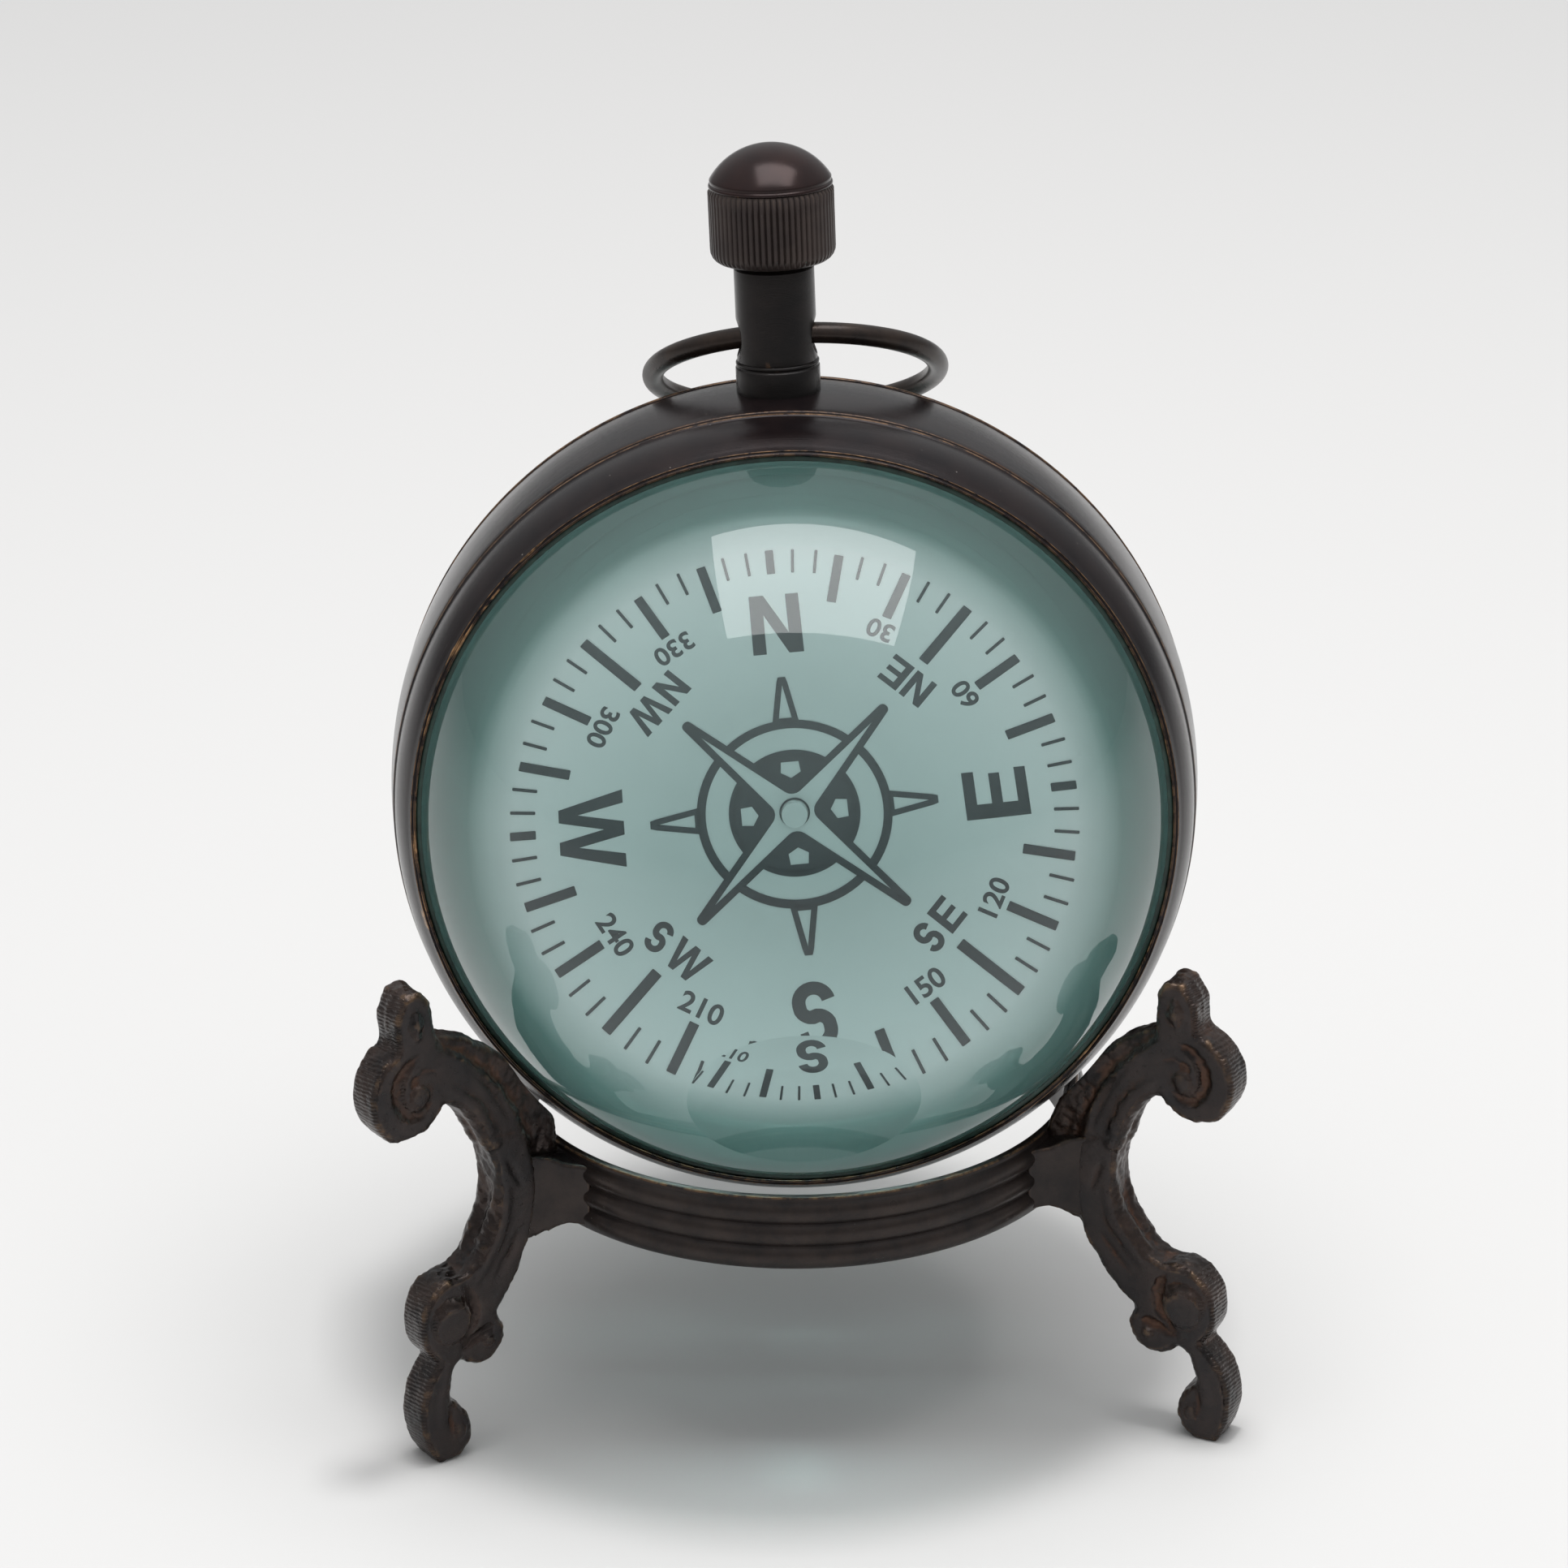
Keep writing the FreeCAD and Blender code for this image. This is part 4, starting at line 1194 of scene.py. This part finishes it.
def leg_plate(inner, half, rim_width, segments):
    """Plate in the leg's shape, with its rim rounded on both faces."""
    plate = trace("leg_pattern", [Vector((r, -half, z)) * MM for r, z in leg_points(inner)])
    close_mesh()
    bpy.ops.mesh.edge_face_add()
    bpy.ops.mesh.extrude_region_move(TRANSFORM_OT_translate={"value": (0, 2 * half * MM, 0)})
    close_mesh()
    bpy.ops.object.mode_set(mode="OBJECT")
    deselect()
    plate.select_set(True)
    bpy.context.view_layer.objects.active = plate
    rim = plate.modifiers.new("rim", "BEVEL")
    rim.width = rim_width * MM
    rim.segments = segments
    rim.limit_method = "ANGLE"
    rim.angle_limit = math.radians(60)
    rim.use_clamp_overlap = False
    bpy.ops.object.modifier_apply(modifier=rim.name)
    return plate


pattern = leg_plate(CORE_INNER, 1.4, 0.5, 2)
scroll = leg_plate(SCROLL_INNER, 2.15, 0.45, 1)
print("plates", len(pattern.data.polygons) + len(scroll.data.polygons), "faces")

# %% [markdown]
# ### Tools for the casting
#
# A ball, a tube along a line and a filed flat are the few shapes that the carver of a leg
# needs. They are written once, as each leg uses them many times.

# %% Helpers for knobs, ribs and hollows


def ball(name, place, size, segments=40, rings=24):
    """A ball or an egg, for knobs that melt into the casting."""
    deselect()
    bpy.ops.mesh.primitive_uv_sphere_add(segments=segments, ring_count=rings, radius=MM,
                                         location=Vector(place) * MM, scale=size)
    knob = bpy.context.object
    knob.name = name
    bpy.ops.object.transform_apply(location=True, rotation=True, scale=True)
    return knob


def rod(name, route, thickness, y):
    """A tube along a smooth line on one face of the leg."""
    deselect()
    bpy.ops.curve.primitive_nurbs_path_add()
    line = bpy.context.object
    line.name = name
    line.data.splines.clear()
    spline = line.data.splines.new("NURBS")
    spline.points.add(len(route) - 1)
    for point, (r, z, width) in zip(spline.points, route):
        point.co = (r * MM, y * MM, z * MM, 1)
        point.radius = width
    spline.order_u = 3
    spline.use_endpoint_u = True
    line.data.resolution_u = 10
    line.data.bevel_depth = thickness * MM
    line.data.bevel_resolution = 6
    line.data.use_fill_caps = True
    bpy.ops.object.convert(target="MESH")
    return bpy.context.object


def flatten(piece, place, normal):
    """File a flat on a knob."""
    deselect()
    bpy.context.view_layer.objects.active = piece
    bpy.ops.object.mode_set(mode="EDIT")
    bpy.ops.mesh.select_all(action="SELECT")
    bpy.ops.mesh.bisect(plane_co=Vector(place) * MM, plane_no=normal, use_fill=True, clear_outer=True,
                        threshold=0.001 * MM)
    bpy.ops.object.mode_set(mode="OBJECT")
    return piece


# %% [markdown]
# ### Carving the pattern
#
# The real pattern was carved before it was cast: knobs at the knee, the spur and the foot, a
# bud on top, ribs along the arm, and hollows between them. Every line is a short list of
# places with a width, the same on both faces. A voxel remesh then melts all of it together.

# %% Knobs, ribs and hollows of the pattern
SCROLL_WELL = [(42.6, 43.6, 0.3), (44.6, 43.2, 0.8), (46.3, 41.4, 1.0), (46.5, 38.8, 1.0), (45.0, 37.1, 0.9),
               (43.2, 37.6, 0.7), (42.4, 38.6, 0.4)]
EYE_HOLLOW = [(43.4, 41.2, 0.5), (44.3, 41.3, 0.8), (44.9, 40.5, 0.6)]
PALM_LINE = [(43.6, 41.6, 0.9), (41.6, 41.5, 0.8), (39.0, 39.6, 0.4)]
FACE_GROOVE = [(41.6, 43.0, 0.5), (38.3, 40.5, 0.9), (35.4, 36.6, 1.0), (33.6, 31.6, 0.8), (33.1, 29.0, 0.3)]
CROSS_STEP = [(32.6, 31.4, 1.0), (34.6, 31.9, 1.0), (37.2, 32.4, 0.5)]
LEAF_HOLLOW = [(35.4, 30.2, 0.5), (34.4, 27.9, 1.1), (33.4, 25.4, 0.6)]
LOWER_GROOVE = [(33.2, 24.4, 0.4), (34.3, 21.6, 0.9), (36.4, 18.6, 1.0), (39.2, 15.8, 0.7)]
KNEE_GROOVE = [(41.4, 18.2, 0.7), (40.3, 16.4, 1.0), (40.4, 13.7, 1.0), (42.4, 11.6, 0.7)]
SPUR_LINE = [(38.6, 12.7, 0.9), (40.4, 12.3, 1.1), (42.6, 11.0, 0.6)]
FOOT_LINE = [(43.8, 6.3, 0.8), (44.6, 4.6, 1.0), (44.3, 2.6, 0.5)]
ARM_RIB = [(41.9, 39.6, 0.7), (39.4, 37.9, 1.0), (37.1, 34.6, 1.0), (35.9, 31.0, 0.9)]
LOWER_RIB = [(35.2, 28.0, 0.7), (35.4, 24.4, 1.0), (37.4, 20.6, 1.05), (40.0, 17.6, 0.8)]
SHIN_RIB = [(43.6, 10.6, 0.7), (45.2, 7.6, 1.0), (45.3, 4.2, 0.9)]

knobs = [
    flatten(flatten(ball("knee", (43.0, 0, 14.9), (3.3, 3.3, 3.35)), (43.0, -2.75, 14.4), (0.1, -1, -0.16)),
            (43.0, 2.75, 14.4), (0.1, 1, -0.16)),
    ball("bud", (43.65, 0, 46.6), (2.25, 2.75, 3.1), 8, 6),
    ball("bud_tip", (43.6, 0, 48.6), (1.3, 2.3, 1.35), 6, 5),
    ball("spur_end", (39.2, 0, 11.4), (1.5, 2.5, 1.5)),
    ball("foot_end", (43.6, 0, 3.1), (1.75, 2.5, 2.6)),
]
hollows = []
for side in (-1, 1):
    face = side * 2.15
    knobs.append(ball("scroll_eye", (44.1, side * 1.1, 39.3), (1.65, 1.5, 1.85)))
    knobs.append(rod("arm_rib", ARM_RIB, 1.25, side * 1.25))
    knobs.append(rod("lower_rib", LOWER_RIB, 1.25, side * 1.2))
    knobs.append(rod("shin_rib", SHIN_RIB, 1.1, side * 1.35))
    for route, thickness, rise in ((SCROLL_WELL, 0.85, 0.35), (EYE_HOLLOW, 0.8, 0.3), (PALM_LINE, 0.9, 0.6),
                                   (FACE_GROOVE, 1.1, 0.85), (CROSS_STEP, 0.8, 0.6), (LEAF_HOLLOW, 0.9, 0.55),
                                   (LOWER_GROOVE, 1.1, 0.85), (KNEE_GROOVE, 0.8, 0.4), (SPUR_LINE, 0.7, 0.3),
                                   (FOOT_LINE, 0.7, 0.4)):
        hollows.append(rod("hollow", route, thickness, face + side * rise))
print(len(knobs), "knobs and ribs,", len(hollows), "hollows")


def melt(piece, voxel):
    """Voxel remesh, applied."""
    deselect()
    bpy.context.view_layer.objects.active = piece
    piece.select_set(True)
    skin = piece.modifiers.new("skin", "REMESH")
    skin.mode = "VOXEL"
    skin.voxel_size = voxel * MM
    bpy.ops.object.modifier_apply(modifier=skin.name)


def joined(pieces, name):
    """Several meshes as one object."""
    deselect()
    for piece in pieces:
        piece.select_set(True)
    bpy.context.view_layer.objects.active = pieces[0]
    bpy.ops.object.join()
    bpy.context.object.name = name
    return bpy.context.object


VOXEL = 0.17
pattern = joined([pattern, scroll] + knobs, "leg_pattern")
melt(pattern, VOXEL)
tool = joined(hollows, "hollows")
melt(tool, VOXEL)
cut_with(pattern, tool)
melt(pattern, VOXEL)
print("pattern", len(pattern.data.polygons), "faces")

# %% [markdown]
# ### Filed flats
#
# After casting, the faces and the outer rims were filed. Those places are marked on the mesh,
# so that the sand's texture stays off them and the finish can turn them grey.

# %% Mark the filed flats, so that they stay smoother than the rest
deselect()
bpy.context.view_layer.objects.active = pattern
pattern.select_set(True)
calm = pattern.modifiers.new("calm", "SMOOTH")
calm.factor = 0.5
calm.iterations = 6
bpy.ops.object.modifier_apply(modifier=calm.name)

filed_face, filed_rim = [], []
for vertex in pattern.data.vertices:
    r, y, z = vertex.co / MM
    filed_face.append(abs(vertex.normal.y) > 0.93 and abs(y) > 2.0)
    filed_rim.append(vertex.normal.x > 0.55 and r > 43.5 and (z > 34 or z < 20))
FACE_ROUGH, RIM_ROUGH = 0.15, 0.45
rough = pattern.vertex_groups.new(name="rough")
for index, (face, rim) in enumerate(zip(filed_face, filed_rim)):
    rough.add([index], FACE_ROUGH if face else RIM_ROUGH if rim else 1.0, "REPLACE")
for name, values in (("filed_face", filed_face), ("filed_rim", filed_rim)):
    mark = pattern.data.attributes.new(name, "FLOAT", "POINT")
    mark.data.foreach_set("value", [float(value) for value in values])
print(sum(filed_face), "points on filed faces,", sum(filed_rim), "on filed rims")

# %% [markdown]
# ### Sand
#
# The sand of the mould left lumps and grains. Two cloud textures press them into the mesh, so
# that the outline is uneven too, which a bump could not do.

# %% Press the sand's texture into the skin
for name, scale, strength in (("lumps", 2.2, 0.42), ("sand", 0.75, 0.26)):
    grain = bpy.data.textures.new(name, "CLOUDS")
    grain.noise_scale = scale * MM
    grain.noise_depth = 2
    press = pattern.modifiers.new(name, "DISPLACE")
    press.texture = grain
    press.texture_coords = "LOCAL"
    press.strength = strength * MM
    press.mid_level = 0.52
    press.vertex_group = "rough"
    bpy.ops.object.modifier_apply(modifier=press.name)
print("leg casting", len(pattern.data.polygons), "faces")

# %% [markdown]
# ### Relief
#
# Hollows keep their dark patina and ridges lose it. A much smoothed copy of the leg shows which
# is which: what stands above it is a ridge. The difference is kept as an attribute.

# %% Measure the relief: how far each point stands above a much smoothed copy
deselect()
pattern.select_set(True)
bpy.context.view_layer.objects.active = pattern
bpy.ops.object.duplicate(linked=False)
worn_down = bpy.context.object
wear = worn_down.modifiers.new("wear", "SMOOTH")
wear.factor = 0.5
wear.iterations = 90
bpy.ops.object.modifier_apply(modifier=wear.name)
relief = [(here.co - there.co).dot(here.normal) / MM
          for here, there in zip(pattern.data.vertices, worn_down.data.vertices)]
bpy.data.objects.remove(worn_down)
mark = pattern.data.attributes.new("relief", "FLOAT", "POINT")
mark.data.foreach_set("value", relief)
ordered = sorted(relief)
print("relief in mm, at 2, 50 and 98 per cent of the points:",
      [round(ordered[int(len(ordered) * part)], 3) for part in (0.02, 0.5, 0.98)])

# %% [markdown]
# ### The three legs
#
# All legs come from one pattern, but each was brazed on with its own lean. Each copy is leaned,
# dressed back where it would touch the case, and cut flat on the floor.

# %% Three legs from the pattern
LEGS = {
    "leg_front_right": (64.0, -3.6, 1.0),
    "leg_front_left": (-55.0, 5.0, 1.05),
    "leg_rear": (184.0, 0.0, 1.0),
}
LEG_CLEAR_R = 40.15
LEG_SINK = 0.25            # filed off under the foot
for name, (direction, lean, growth) in LEGS.items():
    deselect()
    pattern.select_set(True)
    bpy.context.view_layer.objects.active = pattern
    bpy.ops.object.duplicate(linked=False)
    leg = bpy.context.object
    leg.name = name + "_cast"
    pivot = Matrix.Translation((RING_R * MM, 0, ring_base * MM))
    grown = Matrix.Diagonal((1, 1, growth, 1))
    move_mesh(leg, pivot @ Matrix.Rotation(math.radians(lean), 4, "Y") @ pivot.inverted() @ grown)
    drop = -min(vertex.co.z for vertex in leg.data.vertices) - LEG_SINK * MM
    turn = Matrix.Rotation(math.radians(direction - 90), 4, "Z")
    move_mesh(leg, Matrix.Translation((stand_axis.x, stand_axis.y, drop)) @ turn)
    # dress the leg back where it would touch the case
    clear = leg.vertex_groups.new(name="clear")
    for vertex in leg.data.vertices:
        if (vertex.co - ball_centre).length < LEG_CLEAR_R * MM:
            clear.add([vertex.index], 1.0, "REPLACE")
    gauge = ball("gauge", ball_centre / MM, (LEG_CLEAR_R,) * 3, 192, 96)
    bpy.context.view_layer.objects.active = leg
    fit = leg.modifiers.new("fit", "SHRINKWRAP")
    fit.target = gauge
    fit.vertex_group = "clear"
    bpy.ops.object.modifier_apply(modifier=fit.name)
    bpy.data.objects.remove(gauge)
    deselect()
    leg.select_set(True)
    bpy.context.view_layer.objects.active = leg
    bpy.ops.object.mode_set(mode="EDIT")
    bpy.ops.mesh.select_all(action="SELECT")
    bpy.ops.mesh.bisect(plane_co=(0, 0, 0), plane_no=(0, 0, -1), use_fill=True, clear_outer=True,
                        threshold=0.001 * MM)
    close_mesh()
    bpy.ops.object.mode_set(mode="OBJECT")
    bpy.ops.object.shade_smooth_by_angle(angle=math.radians(50))
    dress(leg, leg_brass, "stand", "cast_brass", name)
bpy.data.objects.remove(pattern)

# %% [markdown]
# ## Brazing
#
# Each leg is brazed to the ring, and the metal has run into the corner on both sides as a
# hollow fillet. Its outline is a triangle with a curved long side, drawn out to the ring's
# height. Towards the leg the metal climbs above and below the ring, and the same melting as
# for the legs softens it.

# %% Brazing
FILLET = ([(27.8, 0.9), (33.9, 0.9), (33.9, 2.0)] + through((33.9, 2.0), (30.7, 2.72), (28.3, 5.2), 10)
          + [(27.8, 5.2)])
FLARES = ((29.6, 1.06), (30.4, 1.08), (31.2, 1.10), (32.2, 1.10))
low, high = ring_base + 0.45, ring_top - 0.75
fillets = []
for name, (direction, lean, growth) in LEGS.items():
    for side in (-1, 1):
        outline = [Vector((r, side * y, low)) * MM for r, y in FILLET + FILLET[:1]]
        fillet = trace("fillet", outline)
        close_mesh()
        bpy.ops.mesh.edge_face_add()
        bpy.ops.mesh.extrude_region_move(TRANSFORM_OT_translate={"value": (0, 0, (high - low) * MM)})
        close_mesh()
        # towards the leg the metal has climbed above and below the ring
        for flare_r, taller in FLARES:
            net = bmesh.from_edit_mesh(fillet.data)
            for vertex in net.verts:
                vertex.select = vertex.co.x > flare_r * MM
            net.select_flush_mode()
            bmesh.update_edit_mesh(fillet.data)
            bpy.ops.transform.resize(value=(1, 1, taller), center_override=(0, 0, (low + high) / 2 * MM))
        bpy.ops.object.mode_set(mode="OBJECT")
        turn = Matrix.Rotation(math.radians(direction - 90), 4, "Z")
        move_mesh(fillet, Matrix.Translation((stand_axis.x, stand_axis.y, 0)) @ turn)
        fillets.append(fillet)
fillet = joined(fillets, "leg_brazing_run")
melt(fillet, 0.18)
flow = fillet.modifiers.new("flow", "SMOOTH")
flow.factor = 0.6
flow.iterations = 9
bpy.ops.object.modifier_apply(modifier=flow.name)
bpy.ops.object.shade_smooth()
dress(fillet, ring_brass, "stand", "brazing", "leg_brazing")

# %% [markdown]
# ## Pieces that keep their engineering shape
#
# The pieces inside the ball are already the right shape. They only get their finishes.

# %% Finishes for the inner pieces
bowl_paint, tree, shader = new_material("bowl_paint")
vector = bench_vector(tree)
mottle = place_group(tree, clouds, vector, Scale=120.0)
tree.links.new(blend_colour(tree, mottle.outputs["Cloud"], (0.60, 0.63, 0.61), (0.68, 0.70, 0.68)),
               shader.inputs["Base Color"])
tree.links.new(remap(tree, mottle.outputs["Smudge"], 0, 1, 0.45, 0.6), shader.inputs["Roughness"])

jewel, tree, shader = new_material("jewel")
vector = bench_vector(tree)
mottle = place_group(tree, clouds, vector, Scale=900.0)
tree.links.new(blend_colour(tree, mottle.outputs["Cloud"], (0.45, 0.04, 0.07), (0.60, 0.08, 0.12)),
               shader.inputs["Base Color"])
shader.inputs["Roughness"].default_value = 0.1
shader.inputs["Coat Weight"].default_value = 0.5

KEPT = {
    "card_bowl": bowl_paint, "distance_ring": bowl_paint, "pivot_post": plain_brass, "pivot_nut": plain_brass,
    "pivot_pin": steel, "crown_spindle": plain_brass, "card_hub": card_paint, "hub_jewel": jewel,
    "card_magnets": steel,
}
for name, material in KEPT.items():
    node = frame["nodes"][name]
    node.data.materials.clear()
    node.data.materials.append(material)
print("finishes on", len(KEPT), "kept nodes")

# %% [markdown]
# ## Floor and light
#
# A pale floor that runs out of view, one large soft lamp overhead as in a small product tent,
# and a pale sky that is brighter above than at the sides, so that dark metal shows its shape.
# The large lamp is what shows as a bright window on the ball. A small lamp in its middle gives
# the shadows a core, and stays out of reflections.

# %% Floor
deselect()
bpy.ops.mesh.primitive_plane_add(size=6)
floor = bpy.context.object
floor.name = "floor"
paper, tree, shader = new_material("floor_paper")
shader.inputs["Base Color"].default_value = (0.505, 0.50, 0.495, 1)
shader.inputs["Roughness"].default_value = 0.6
shader.inputs["Specular IOR Level"].default_value = 0.2
floor.data.materials.append(paper)

# %% Lamp and sky
LAMP_PLACE = Vector((0.075, -0.03, 0.8))
KEY_PLACE = Vector((0.02, 0.0, 0.80))
SIDE_LIGHT, TOP_LIGHT = 0.30, 0.80
deselect()
bpy.ops.object.light_add(type="AREA", location=ball_centre + LAMP_PLACE)
lamp = bpy.context.object
lamp.name = "overhead_softbox"
lamp.data.shape = "RECTANGLE"
lamp.data.size = 0.70
lamp.data.size_y = 0.54
lamp.data.energy = 5.2

# a small key lamp in the middle of it, whose light the ball gathers on the floor
deselect()
bpy.ops.object.light_add(type="AREA", location=ball_centre + KEY_PLACE)
key = bpy.context.object
key.name = "key_lamp"
key.rotation_euler = (ball_centre - key.location).to_track_quat("-Z", "Y").to_euler()
key.data.size = 0.12
key.data.energy = 4.5
key.data.cycles.is_caustics_light = True
key.visible_glossy = False
for piece in (front_lens, rear_lens):
    piece.cycles.is_caustics_caster = True
for piece in (card, printing, floor):
    piece.cycles.is_caustics_receiver = True

world = bpy.data.worlds.new("tent")
bpy.context.scene.world = world
world.use_nodes = True
sky = world.node_tree
sky.nodes["Background"].inputs["Color"].default_value = (0.98, 0.99, 1.0, 1)
upwards = add_node(sky, "ShaderNodeSeparateXYZ")
sky.links.new(add_node(sky, "ShaderNodeTexCoord").outputs["Generated"], upwards.inputs[0])
sky.links.new(remap(sky, upwards.outputs["Z"], 0.0, 0.75, SIDE_LIGHT, TOP_LIGHT),
              sky.nodes["Background"].inputs["Strength"])

scene = bpy.context.scene
scene.view_settings.view_transform = "Standard"
scene.cycles.use_denoising = True
scene.cycles.max_bounces = 16
scene.cycles.transmission_bounces = 16
scene.cycles.transparent_max_bounces = 8
print("lamps", lamp.data.energy, "and", key.data.energy, "W")
